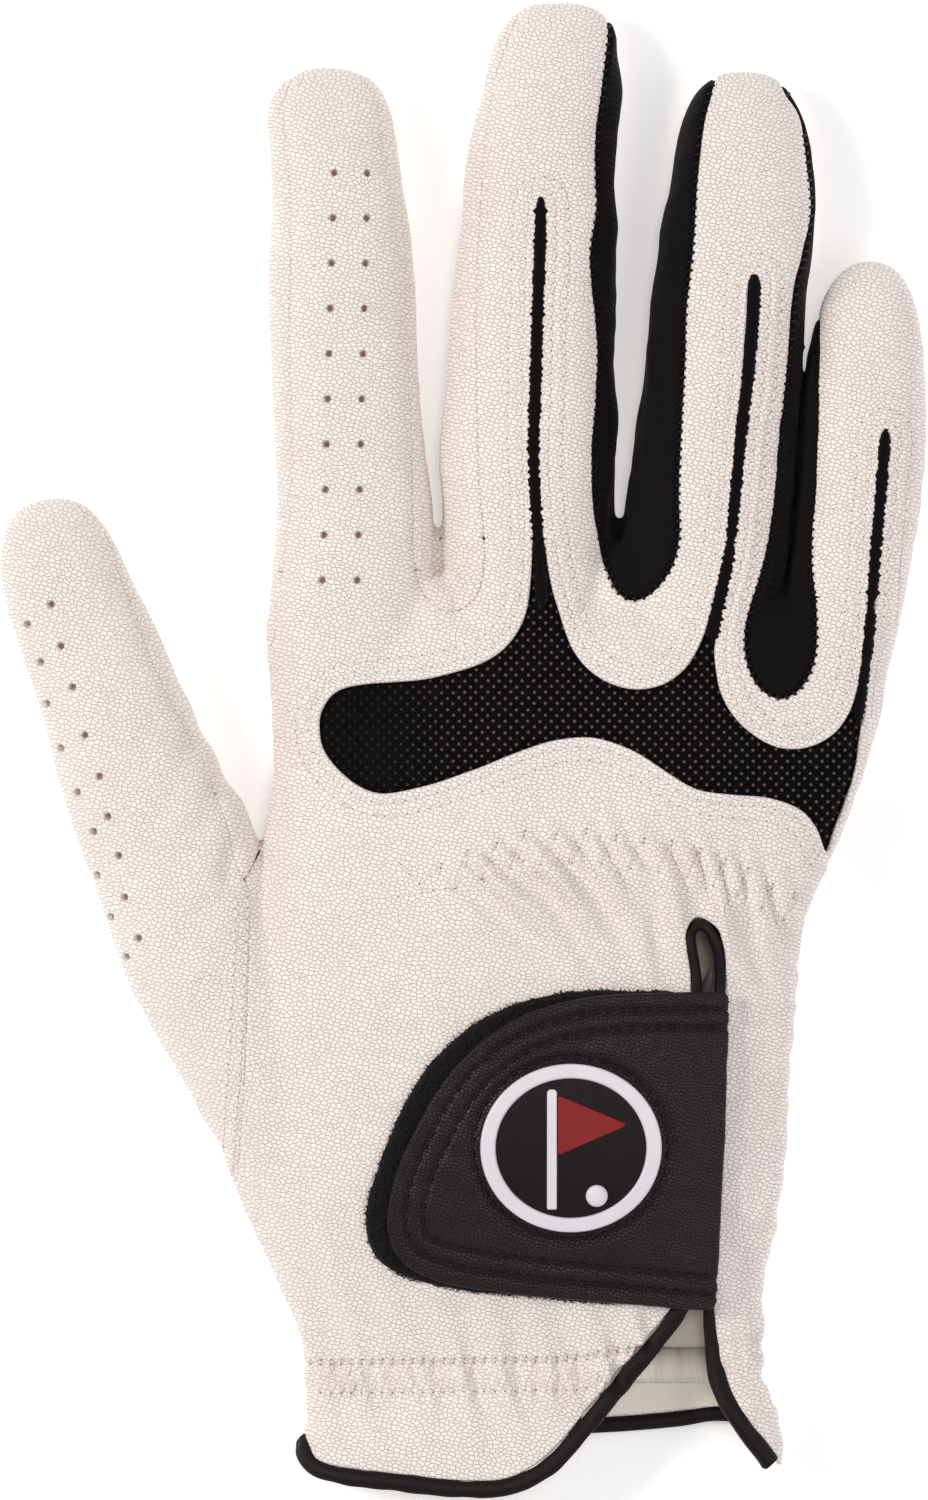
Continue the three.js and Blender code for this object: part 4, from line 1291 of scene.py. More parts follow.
HEM_LINE = Line((
    (-25.2, -105.2), (-25.4, -108.6), (-24, -111.6), (-20, -113.1), (-10, -114.3), (0, -115.3),
    (7, -114.9), (13, -112), (17.6, -107.2), (22.6, -101.2), (27.6, -95.2), (31.6, -90.4),
    (34.6, -85.6),
))
VENT_LINE = Line((
    (34.9, -84.6), (35.6, -78), (35.9, -62), (36.1, -48), (36.2, -38), (36, -33.5), (35.4, -30.6),
    (35.2, -28.7), (36.6, -27), (38.4, -28.2), (39.4, -31), (39.9, -36), (39.9, -48), (39.4, -62),
    (38.7, -76), (38.2, -86), (38.6, -91.4), (39.4, -96.6), (41, -101.4), (44, -106.2),
    (47.2, -110.2), (48, -111.4),
))
PALM_HEM_LINE = Line(
    ((-23.6, -107.6), (-12, -106.8), (6, -106.2), (22, -105.8), (34, -104.8), (39, -104), (45.4, -104.4))
)
KNUCKLE_TOPS = (
    (-3.6, -18.4), (0.5, -16.4), (5, -15.2), (9.4, -13.4), (14.2, -13.8), (19, -13), (23.6, -14),
    (28, -14.5), (32.3, -14.9), (36.7, -16.1), (40.6, -17.7), (44.2, -19.2), (48, -21.6), (51.4, -23),
)
KNUCKLE_BOTTOMS = tuple(
    ((a[0] + b[0]) / 2 + 0.2, (a[1] + b[1]) / 2 - 4.2) for a, b in zip(KNUCKLE_TOPS, KNUCKLE_TOPS[1:])
)
KNUCKLE_LINE = Line((
    (-8, -21.4), (0, -18.8), (7, -17), (14, -15.9), (23, -16), (32, -17), (41, -20), (48, -23.6), (54, -26),
))
WRIST_LINE = Line(((-25.4, -98.2), (-12, -98.6), (4, -98.3), (16, -97.6), (28, -95.4)))
RUFFLE_PITCH = 3.2
WRIST_HEIGHT = ((-26, -98.3), (16, -97.6), (30, -95.2), (50, -95))
THUMB_LINE = Line(
    ((-32.4, -23), (-32.6, -30), (-33, -38), (-33.4, -46.5), (-34, -54.8), (-34.6, -63.4), (-35.4, -69.5))
)
# Two rows of ten punched holes on the index finger.
INDEX_HOLES = tuple(
    (x0 + (x1 - x0) * k / 9, 90 - 7.06 * k)
    for x0, x1 in ((-20.2, -22.1), (-14.9, -16.6))
    for k in range(10)
)
THUMB_HOLES = (
    (-64.4, 22.7), (-62.9, 16.2), (-61, 9.8), (-59.1, 2.3), (-56.8, -4.1), (-55.6, -10.4), (-54, -16.5),
    (-53, -23), (-50.6, -29.3), (-68.2, 19.6), (-66.1, 13.7), (-65.1, 7.2), (-62.9, 0.3), (-60.3, -6.6),
    (-58, -12.8), (-57.4, -19.6), (-55.2, -26.1), (-52.4, -32.2),
)
HOLE_RADIUS = 0.54
PUCKER_PITCH = 4.5


def zigzag(tops: Array, bottoms: Array) -> Array:
    """Puts upper and lower points in sewing order.

    Args:
        tops: the upper corners, from left to right.
        bottoms: the lower corners between them.

    Returns:
        All the corners, one after the other.
    """
    points = np.empty((len(tops) + len(bottoms), 2))
    points[0::2], points[1::2] = tops, bottoms
    return points


def zigzag_rows() -> list[Array]:
    """Lays out every zigzag: one row over the knuckles and two round the wrist.

    Returns:
        The corners of each row.
    """
    rows = [zigzag(np.array(KNUCKLE_TOPS), np.array(KNUCKLE_BOTTOMS))]
    x = np.arange(-24, 28.5, RUFFLE_PITCH)
    middle = np.interp(x, *np.array(WRIST_HEIGHT).T)
    for shift in (0.0, RUFFLE_PITCH / 2):
        tops = np.column_stack([x + shift, middle + 2.3])
        bottoms = np.column_stack([x[:-1] + shift + RUFFLE_PITCH / 2, middle[:-1] - 2.2])
        rows.append(zigzag(tops, bottoms))
    return rows


def from_threads(xy: Array) -> Array:
    """Measures points against the zigzag threads.

    Args:
        xy: points seen from above.

    Returns:
        The distance from each to the nearest thread.
    """
    best = np.full(len(xy), FAR)
    for row in zigzag_rows():
        gap = Line(tuple(map(tuple, row)), 1).locate(xy, 4)[0]
        best = np.minimum(best, np.abs(gap))
    return best


def from_corners(xy: Array) -> Array:
    """The distance from each point to the nearest corner of a zigzag."""
    best = np.full(len(xy), FAR)
    for corner in np.vstack(zigzag_rows()):
        best = np.minimum(best, np.hypot(*(xy - corner).T))
    return best


def pleat(turn: Array) -> Array:
    """A repeating fold between -1 and 1 with broad ridges and narrow valleys, where turn is an angle."""
    return 2 * np.abs(np.sin(turn / 2)) ** 0.65 - 1


def ripple(points: Array, wave: float, seed: int) -> Array:
    """Soft, seeded unevenness.

    Args:
        points: where to evaluate it.
        wave: the typical distance between two swells.
        seed: picks one pattern out of many.

    Returns:
        One number per point, with a spread of about 1.
    """
    rng = np.random.default_rng(SEED + seed)
    ways = unit(rng.normal(size=(14, 3))) * rng.uniform(0.7, 1.4, (14, 1)) * 2 * math.pi / wave
    return np.cos(points @ ways.T + rng.uniform(0, 2 * math.pi, 14)).sum(1) / math.sqrt(7)


class GloveForm:
    """The filled glove as one surface, which the panels are cut from.

    Attributes:
        plain: the smooth surface, with each point's distance to every seam.
        skin: the same surface with its folds, puckers and punched holes.
    """

    VOXEL = 0.0007
    ROUNDS = 7
    # Depth, distance and pattern of the leather's own swells.
    SWELLS = ((0.16, 30, 1), (0.07, 11, 2))
    SEWN_ROWS = (1.7, 3.7)
    SEWN_RIDGE = 2.7
    SEAM_DEPTH = 0.28

    def __init__(self) -> None:
        body = self._merged()
        for reach in (1.7, 0.85):
            body = body.refined(self._fine(body, reach))
        body = body.reshaded()
        self._measure(body)
        self.plain = body
        self.skin = self._creased(body).reshaded()

    def _merged(self) -> Surface:
        """Fuses the hand, the digits and the webs into one even surface."""
        points, faces, total = [], [], 0
        for tube in (PALM, *(digit.tube for digit in DIGITS.values())):
            made, sides = tube.closed(total)
            points.append(made)
            faces += sides
            total += len(made)
        mesh = bpy.data.meshes.new("glove_form")
        mesh.from_pydata((np.vstack(points) * MM).tolist(), [], faces)
        for x, y, rx, ry, rz in WEBS:
            self._add_web(mesh, (x, y, rz + 0.3), (rx, ry, rz))
        holder = bpy.data.objects.new("glove_form", mesh)
        bpy.context.collection.objects.link(holder)
        merge = holder.modifiers.new("merge", "REMESH")
        merge.mode, merge.voxel_size = "VOXEL", self.VOXEL
        ease = holder.modifiers.new("ease", "SMOOTH")
        ease.factor, ease.iterations = 0.5, self.ROUNDS
        done = holder.evaluated_get(bpy.context.evaluated_depsgraph_get()).to_mesh()
        done.calc_loop_triangles()
        co = np.empty(len(done.vertices) * 3, np.float32)
        done.vertices.foreach_get("co", co)
        tri = np.empty(len(done.loop_triangles) * 3, np.int32)
        done.loop_triangles.foreach_get("vertices", tri)
        bpy.data.objects.remove(holder)
        bpy.data.meshes.remove(mesh)
        points = co.reshape(-1, 3).astype(float) / MM
        return Surface(points, tri.reshape(-1, 3).astype(int), np.zeros_like(points)).reshaded()

    @staticmethod
    def _add_web(mesh: bpy.types.Mesh, middle: tuple, radii: tuple) -> None:
        """Adds one rounded web to the mesh, as an ellipsoid."""
        work = bmesh.new()
        work.from_mesh(mesh)
        matrix = Matrix.LocRotScale(Vector(middle) * MM, None, Vector(radii) * MM)
        bmesh.ops.create_uvsphere(work, u_segments=32, v_segments=20, radius=1.0, matrix=matrix)
        work.to_mesh(mesh)
        work.free()

    @staticmethod
    def _holes(xy: Array) -> Array:
        """The distance from each point to the nearest punched hole."""
        best = np.full(len(xy), FAR)
        for hole in (*INDEX_HOLES, *THUMB_HOLES):
            best = np.minimum(best, np.hypot(*(xy - np.array(hole)).T))
        return best

    def _fine(self, body: Surface, reach: float) -> Array:
        """Picks the points that need a finer mesh: at the slits and the punched holes."""
        high = body.points[:, 2] > 5
        slits = np.abs(OUTLINES["mesh"].signed(body.xy, 4)) < reach
        return high & (slits | (self._holes(body.xy) < 1.6) | (from_threads(body.xy) < 1.3))

    def _measure(self, body: Surface) -> None:
        """Stores each point's height, and its distance to every seam and digit."""
        values, xy = body.values, body.xy
        values["z"] = body.points[:, 2].copy()
        for name, outline in OUTLINES.items():
            flat = outline.signed(xy)
            values[name] = flat if name in FLAT_OUTLINES else body.along_surface(flat)
        zones = {name: digit.zone(xy) for name, digit in DIGITS.items()}
        for name, zone in zones.items():
            others = np.min([other for key, other in zones.items() if key != name], 0)
            values["in_" + name] = np.maximum(zone, (zone - others) / 2)
        values["in_hand"] = -np.min(list(zones.values()), 0)

    def _creased(self, body: Surface) -> Surface:
        """Adds the folds, puckers, seam grooves and punched holes."""
        points, xy, values = body.points, body.xy, body.values
        x, y = xy.T
        upper = smooth_step(values["z"], 4, 9)
        broad, small = (depth * ripple(points, wave, seed) for depth, wave, seed in self.SWELLS)
        height = upper * (broad + small)
        height += upper * 0.05 * ripple(points * [0.5, 1.6, 1], 6, 3)
        height += self._knuckle_puckers(xy) * upper
        height += self._wrist_ruffles(points)
        # Two sewn rows sink in beside the mesh, and the leather between them swells.
        near, far = self.SEWN_ROWS
        mesh = values["mesh"]
        height -= 0.16 * (bell(mesh - near, 0.4) + bell(mesh - far, 0.4)) * upper
        height += 0.14 * bell(mesh - self.SEWN_RIDGE, 0.6) * upper
        for name in ("gap_index_middle", "index_side", "thumb_side", "thumb_panel"):
            height -= self.SEAM_DEPTH * bell(values[name], 0.9) * upper
        height -= 0.2 * bell(values["thumb_panel"] - 1.6, 0.5) * (y < -22)
        # The hollow where the seams of the thumb meet.
        pocket = np.hypot((x + 36.4) / 1.3, (y + 18) / 3.2)
        height -= 0.9 * bell(pocket, 1.0) * upper
        # Small folds across the strip beside the vent.
        strip = smooth_step(x, 40, 44) * smooth_step(-y, 26, 40)
        height += strip * (0.17 * np.cos(y * 1.15 + 0.3 * x + 1.5 * ripple(points, 22, 4)))
        height += strip * 0.14 * ripple(points, 7, 5)
        thumb_folds = bell(np.hypot(x + 40, (y + 6) / 2.2), 9)
        height += 0.25 * thumb_folds * np.cos((x * 0.9 - y * 0.45) * 0.9)
        # Gathers round the bottom of the gap between the index and middle fingers.
        crotch = bell(values["gap_index_middle"] + 3, 3) * bell(y - 24, 5)
        angle = np.arctan2(y - 29, x + 2.4)
        height += 0.22 * crotch * np.cos(angle * 16)
        # The zigzag threads pull the leather in, most of all at their corners.
        height -= (0.28 * bell(from_threads(xy), 0.4) + 0.5 * bell(from_corners(xy), 0.6)) * upper
        # Each punched hole is a pit with a low rim, coloured with painted shade.
        hole = self._holes(xy)
        punched = 1 - smooth_step(hole, HOLE_RADIUS - 0.25, HOLE_RADIUS + 0.12)
        height -= 1.0 * punched * upper
        height += 0.07 * bell(hole - HOLE_RADIUS - 0.35, 0.3) * upper
        made = body.lifted(height)
        # The pits take the leather's mark colour as painted shade.
        made.values["shade"] = punched * upper
        return made

    @staticmethod
    def _knuckle_puckers(xy: Array) -> Array:
        """Folds that the elastic under the knuckles gathers, running down to the right.

        Args:
            xy: points seen from above.

        Returns:
            The height of the folds at each point.
        """
        gap, along = KNUCKLE_LINE.locate(xy)
        flat = np.column_stack([xy, np.zeros(len(xy))])
        ends = smooth_step(along, 3, 14) * (1 - smooth_step(along, 58, 64))
        turn = 2 * math.pi * (along + 0.62 * gap + 0.5 * ripple(flat, 17, 6)) / PUCKER_PITCH
        near = np.where(gap > 0, bell(gap, 4.2), bell(gap, 6.5))
        made = 0.95 * pleat(turn) * near
        turn = 2 * math.pi * (along + 0.95 * gap + 1.0 * ripple(flat, 30, 7)) / (PUCKER_PITCH * 2.05)
        far = smooth_step(-gap, 0, 5) * bell(gap + 5, 13) * (0.85 + 0.25 * ripple(flat, 24, 8))
        made += 1.3 * np.cos(turn) * far
        return made * ends

    @staticmethod
    def _wrist_ruffles(points: Array) -> Array:
        """Upright ruffles that the wrist elastic gathers, on the back and on the palm side.

        Args:
            points: where to evaluate them.

        Returns:
            The height of the ruffles at each point.
        """
        x, y = points[:, 0], points[:, 1]
        gap = y - np.interp(x, *np.array(WRIST_HEIGHT).T)
        turn = 2 * math.pi * (x + 0.25 * gap + 0.5 * ripple(points, 12, 9)) / RUFFLE_PITCH
        reach = np.where(gap > 0, bell(gap, 6.5), bell(gap, 5.0))
        slow = 0.5 * np.cos(turn / 2.3 + 1) * np.where(gap > 0, bell(gap, 13), bell(gap, 9))
        pinch = -0.5 * bell(np.abs(gap) - 2.1, 0.9)
        low = smooth_step(points[:, 2], 1.5, 5)
        return low * (0.45 * np.cos(turn) * reach + 1.3 * slow + 0.5 * pinch * (y < -90))


def add_piece(
    name: str, solid: Solid, finish: Finish, body: str,
    nodes: Names | None = None, lining: Finish | None = None,
) -> None:
    """Makes a finished piece: one on the hand or the tab is parented to its body's empty, one on a digit is
    baked in place.

    Args:
        name: the piece's name.
        solid: its mesh.
        finish: the finish of its outer faces.
        body: the body that it belongs to.
        nodes: the CAD nodes that it stands for, if it is more than a trim.
        lining: the finish of its inner faces, if that differs.
    """
    made = make_object(name, solid, finish, lining)
    if body in DIGITS:
        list(DIGITS[body].bend())
        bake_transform(made)
    else:
        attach(made, body)
    if nodes is not None:
        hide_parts(*nodes)
    log.info("%s: %d faces", name, len(solid.faces))


# --- the glove's panels
# Thicknesses of the leather and the fabric, and the room left at seams with the fabric and with leather.
PANEL = 0.9
FABRIC = 0.6
SEAM = 0.43
CLOSED_SEAM = 0.36
# Points this close to the palm seam or to a digit's root have a square edge.
AT_SEAM = 0.12
# How far and how deep the fabric and the mesh run under the leather.
UNDERLAP = 1.3
FABRIC_DEPTH = 1.02
MESH_DEPTH = 0.42
TOUCH_RISE, TOUCH_MIDDLE, TOUCH_LENGTH = 0.66, 45, 15


class Panels:
    """Cuts the leather and fabric panels out of the glove's surface and dresses them."""

    def __init__(self, form: GloveForm) -> None:
        self.form = form

    def build(self) -> None:
        """Builds every panel."""
        v = self.form.skin.values
        top = PALM_SEAM_Z - v["z"]
        black = [SEAM - v["gap_middle_ring"], SEAM - v["gap_ring_little"], SEAM - v["mesh"]]
        whites = [CLOSED_SEAM - v[name] for name in ("gap_index_middle", "index_side", "thumb_side")]
        outside = [top, *black, *whites]
        panel, side, gap, index = (
            v[name] + CLOSED_SEAM
            for name in ("thumb_panel", "thumb_side", "gap_index_middle", "index_side")
        )
        self._leather(
            "back_of_hand", HAND, [*outside, SEAM - v["vent"], CLOSED_SEAM - v["thumb_panel"]],
            ("back_panel", "middle_knuckle", "ring_knuckle", "little_knuckle"),
        )
        self._leather("thumb_root", HAND, [top, panel, CLOSED_SEAM - v["thumb_side"]], ("thumb_gusset",))
        self._leather("thumb_root_side", HAND, [top, side], ("thumb_web",))
        self._leather("index_root_side", HAND, [top, index], ())
        self._leather("index_middle_web", HAND, [top, gap], ("web_index_middle",))
        self._leather("palm_of_hand", HAND, [-top, SEAM - v["palm_cuff"]], ("palm_panel",))
        for digit in DIGITS:
            self._leather(f"{digit}_upper", digit, outside, (f"{digit}_back",))
            self._leather(f"{digit}_under", digit, [-top], (f"{digit}_palm",))
        self._leather("thumb_inner_side", "thumb", [top, side], ("thumb_side",))
        self._leather("index_outer_side", "index", [top, index], ("index_fourchette_radial",))
        self._leather("index_inner_side", "index", [top, gap], ("index_fourchette_ulnar",))
        self._leather("middle_inner_side", "middle", [top, gap], ("middle_fourchette_radial",))
        for digit, way, between in (
            ("middle", "ulnar", "gap_middle_ring"),
            ("ring", "radial", "gap_middle_ring"),
            ("ring", "ulnar", "gap_ring_little"),
            ("little", "radial", "gap_ring_little"),
        ):
            self._fabric(f"{digit}_{way}_wall", digit, between, f"{digit}_fourchette_{way}")
        self._fabric("middle_ring_web", HAND, "gap_middle_ring", "web_middle_ring")
        self._fabric("ring_little_web", HAND, "gap_ring_little", "web_ring_little")
        self._mesh("knuckle_insert", HAND, "knuckle_mesh")
        for digit in ("middle", "ring", "little"):
            self._mesh(f"{digit}_insert", digit, f"{digit}_mesh_strip")

    def _leather(self, name: str, body: str, fields: list[Array], nodes: Names) -> None:
        """Cuts a leather panel out of its body's part of the surface.

        Args:
            name: the panel's name.
            body: the body whose part of the surface it is cut from.
            fields: numbers that are all below zero inside the panel.
            nodes: the CAD nodes that it stands for.
        """
        own = "in_" + body
        panel = self.form.skin.cut(np.max([self.form.skin.values[own], *fields], 0))
        z, zone = panel.values["z"], panel.values[own]
        flat = (np.abs(z - PALM_SEAM_Z) < AT_SEAM) | (np.abs(zone) < AT_SEAM)
        add_piece(name, shell_of(panel, PANEL, flat), WHITE_LEATHER, body, nodes, LINING)

    def _fabric(self, name: str, body: str, gap: str, node: str) -> None:
        """Cuts a stretch fabric wall, which runs on a little under the leather.

        Args:
            name: the wall's name.
            body: the body whose part of the surface it is cut from.
            gap: the outline of the gap between two fingers that it lines.
            node: the CAD node that it stands for.
        """
        skin, v = self.form.skin, self.form.skin.values
        fields = [v["in_" + body], PALM_SEAM_Z - 1.2 - v["z"], v[gap] - UNDERLAP]
        panel = skin.cut(np.max(fields, 0))
        under = smooth_step(panel.values[gap], -1.2, 0.2)
        low = 1 - smooth_step(panel.values["z"], PALM_SEAM_Z - 0.3, PALM_SEAM_Z + 0.8)
        creases = 0.12 * ripple(panel.points * [1, 0.7, 1], 7, 11)
        if gap == "gap_ring_little":
            # These two walls touch along their middle, which keeps the light out of the gap.
            creases += TOUCH_RISE * bell(panel.points[:, 1] - TOUCH_MIDDLE, TOUCH_LENGTH)
        panel = panel.lifted(creases - FABRIC_DEPTH * np.maximum(under, low)).reshaded()
        flat = np.abs(panel.values["in_" + body]) < AT_SEAM
        solid = shell_of(panel, FABRIC, flat)
        add_piece(name, solid, STRETCH_TWILL, body, (node,), STRETCH_TWILL)

    def _mesh(self, name: str, body: str, node: str) -> None:
        """Cuts the knitted mesh that shows through the openings over the knuckles.

        Args:
            name: the piece's name.
            body: the body whose part of the surface it is cut from.
            node: the CAD node that it stands for.
        """
        skin, v = self.form.skin, self.form.skin.values
        gaps = [1.6 - v["gap_middle_ring"], 1.6 - v["gap_ring_little"]]
        fields = [v["in_" + body], 5 - v["z"], v["mesh"] - UNDERLAP, *gaps]
        panel = skin.cut(np.max(fields, 0))
        under = smooth_step(panel.values["mesh"], -1.6, 0.1)
        panel = panel.lifted(-MESH_DEPTH - 0.6 * under).reshaded()
        # The pale holes fade into the dark mark colour towards the thumb.
        panel.values["shade"] = 0.85 * smooth_step(-panel.points[:, 0], -2, 14)
        flat = np.abs(panel.values["in_" + body]) < AT_SEAM
        solid = shell_of(panel, FABRIC, flat)
        add_piece(name, solid, KNIT_MESH, body, (node,), STRETCH_TWILL)


# --- sewing
@dataclass(frozen=True)
class Stitch:
    """A kind of stitching.

    Attributes:
        thread: the thread's finish.
        pitch: length of one stitch.
        gap: the part of each stitch that is down in the leather.
        radius: half the thread's thickness.
        hole: half the width of a needle hole.
    """

    thread: Finish
    pitch: float = 1.75
    gap: float = 0.45
    radius: float = 0.17
    hole: float = 0.135


TOPSTITCH = Stitch(WHITE_THREAD)
TAB_STITCH = Stitch(BLACK_THREAD, 2.1, 0.5, 0.26, 0.2)
OVERLOCK = Stitch(BLACK_THREAD, 1.4, 0.0, 0.25, 0.1)
ZIGZAG = Stitch(WHITE_THREAD, 1.75, 0.45, 0.16, 0.17)


@dataclass
class Needlework:
    """Sews threads on a surface.

    Attributes:
        name: the start of the pieces' names.
        drape: the surface that is sewn.
        stitch: the kind of stitching.
        body: the body that carries the threads, if it is always the same one.
        legs: start and end of every thread, seen from above.
        holes: every needle hole, seen from above.
    """

    name: str
    drape: Drape
    stitch: Stitch
    body: str | None = None
    legs: list[Array] = field(default_factory=list)
    holes: list[Array] = field(default_factory=list)

    def row(self, path: Array, allowed: Array | None = None) -> None:
        """Sews a straight row along a path.

        Args:
            path: the row's points, seen from above.
            allowed: whether each point may be sewn.
        """
        points = even(path[:, :2], self.stitch.pitch)
        if allowed is not None:
            spots = np.linspace(0, len(path) - 1, len(points)).round().astype(int)
            good = allowed[spots]
        else:
            good = np.ones(len(points), bool)
        share = self.stitch.gap / self.stitch.pitch / 2
        step = np.diff(points, axis=0)
        both = good[:-1] & good[1:]
        self.legs.append(np.hstack([points[:-1] + step * share, points[1:] - step * share])[both])
        self.holes.append(points[good])

    def zigzag(self, points: Array) -> None:
        """Sews a zigzag, two stitches to each leg.

        Args:
            points: the zigzag's corners, in order.
        """
        step = np.diff(points, axis=0)
        for low, high in ((0.04, 0.48), (0.52, 0.96)):
            self.legs.append(np.hstack([points[:-1] + step * low, points[:-1] + step * high]))
        self.holes += [points, points[::2] + [0.1, 0.75]]

    def build(self, slot: str) -> None:
        """Makes the threads and the needle holes, one piece for each body."""
        legs, holes = np.vstack(self.legs), np.vstack(self.holes)
        if self.body is None:
            legs = legs[OUTLINES["vent"].signed(legs[:, 2:]) > 0.8]
            holes = holes[OUTLINES["vent"].signed(holes) > 0.8]
        for body in (HAND, *DIGITS) if self.body is None else (self.body,):
            mine = legs[self._on(body, (legs[:, :2] + legs[:, 2:]) / 2)]
            if len(mine):
                self._threads(body, mine)
            spots = holes[self._on(body, holes)]
            if len(spots):
                self._needle_hole_shade(body, spots)

    def _on(self, body: str, xy: Array) -> Array:
        """Whether each point belongs to the body."""
        if self.body is not None:
            return np.ones(len(xy), bool)
        zones = {name: digit.zone(xy) for name, digit in DIGITS.items()}
        nearest = np.min(list(zones.values()), 0)
        return nearest > 0 if body == HAND else (zones[body] <= 0) & (zones[body] == nearest)

    def _threads(self, body: str, legs: Array) -> None:
        """Makes one body's threads."""
        starts, up, met = self.drape.at(legs[:, :2])
        ends, up_end, met_end = self.drape.at(legs[:, 2:])
        good = met & met_end & (np.linalg.norm(ends - starts, axis=1) < 3)
        ups = unit(up + up_end)[good]
        r = self.stitch.radius
        solid = beads(starts[good], ends[good], ups, r, r * 0.55, r * 1.4)
        add_piece(f"{self.name}_threads_{body}", solid, self.stitch.thread, body)

    def _needle_hole_shade(self, body: str, spots: Array) -> None:
        """Makes one body's needle holes as dark discs of painted shade."""
        places, ups = self.drape.on(spots)
        side = unit(np.cross(ups, [0.3, 1.0, 0.1])) * self.stitch.hole
        dark = NEEDLE_HOLE if self.stitch.thread is WHITE_THREAD else BLACK_THREAD
        solid = beads(places - side, places + side, ups, self.stitch.hole, -0.05, 0.05)
        add_piece(f"{self.name}_needle_hole_shade_{body}", solid, dark, body)


class Sewing:
    """All the stitching on the leather."""

    MESH_MARGINS = (1.5, 3.6)
    THUMB_MARGINS = (1.3, 3.1)
    BACK_TACK = (
        ((-10.2, -22.8), (-1.2, -21.2)),
        ((-9.8, -17.8), (-7, -20.8)),
        ((-7, -20.8), (-3.6, -18.4)),
    )

    def __init__(self, drape: Drape) -> None:
        self.work = Needlework("topstitch", drape, TOPSTITCH)

    def build(self) -> None:
        """Sews every row."""
        for margin in self.MESH_MARGINS:
            for run in OUTLINES["mesh"].offset_runs(margin, 0.4):
                self.work.row(run, self._on_leather(run))
        for margin in self.THUMB_MARGINS:
            self.work.row(even(THUMB_LINE.path(), 0.4) - [margin, 0])
        for start, end in self.BACK_TACK:
            self.work.row(np.linspace(start, end, 20))
        self.work.build("white_leather")
        rows = Needlework("zigzag", self.work.drape, ZIGZAG)
        for row in zigzag_rows():
            rows.zigzag(row)
        rows.build("white_leather")
        self._overlock()

    def _overlock(self) -> None:
        """Black threads that bind the leather to the stretch fabric, and bite into its edge."""
        work = Needlework("overlock", self.work.drape, OVERLOCK)
        for name in ("gap_middle_ring", "gap_ring_little"):
            path = OUTLINES[name].path()
            path = even(np.vstack([path, path[:1]]), OVERLOCK.pitch)
            ahead = unit(np.gradient(path, axis=0))
            area = np.sum(path[:-1, 0] * path[1:, 1] - path[1:, 0] * path[:-1, 1])
            out = np.column_stack([ahead[:, 1], -ahead[:, 0]]) * np.sign(area)
            start, end = path - out * 0.55 - ahead * 0.25, path + out * 0.42 + ahead * 0.1
            work.legs.append(np.hstack([start, end]))
        work.holes.append(np.empty((0, 2)))
        work.build("black_stretch_fabric")

    def _on_leather(self, path: Array) -> Array:
        """Whether each point of a row is well inside a leather panel."""
        good = np.ones(len(path), bool)
        for name in ("gap_index_middle", "gap_middle_ring", "gap_ring_little"):
            good &= OUTLINES[name].signed(path) > 0.7
        right = [digit.tube.edges(path[:, 1])[1] for digit in DIGITS.values()]
        return good & (path[:, 0] < np.max(right, 0) - 1.2)


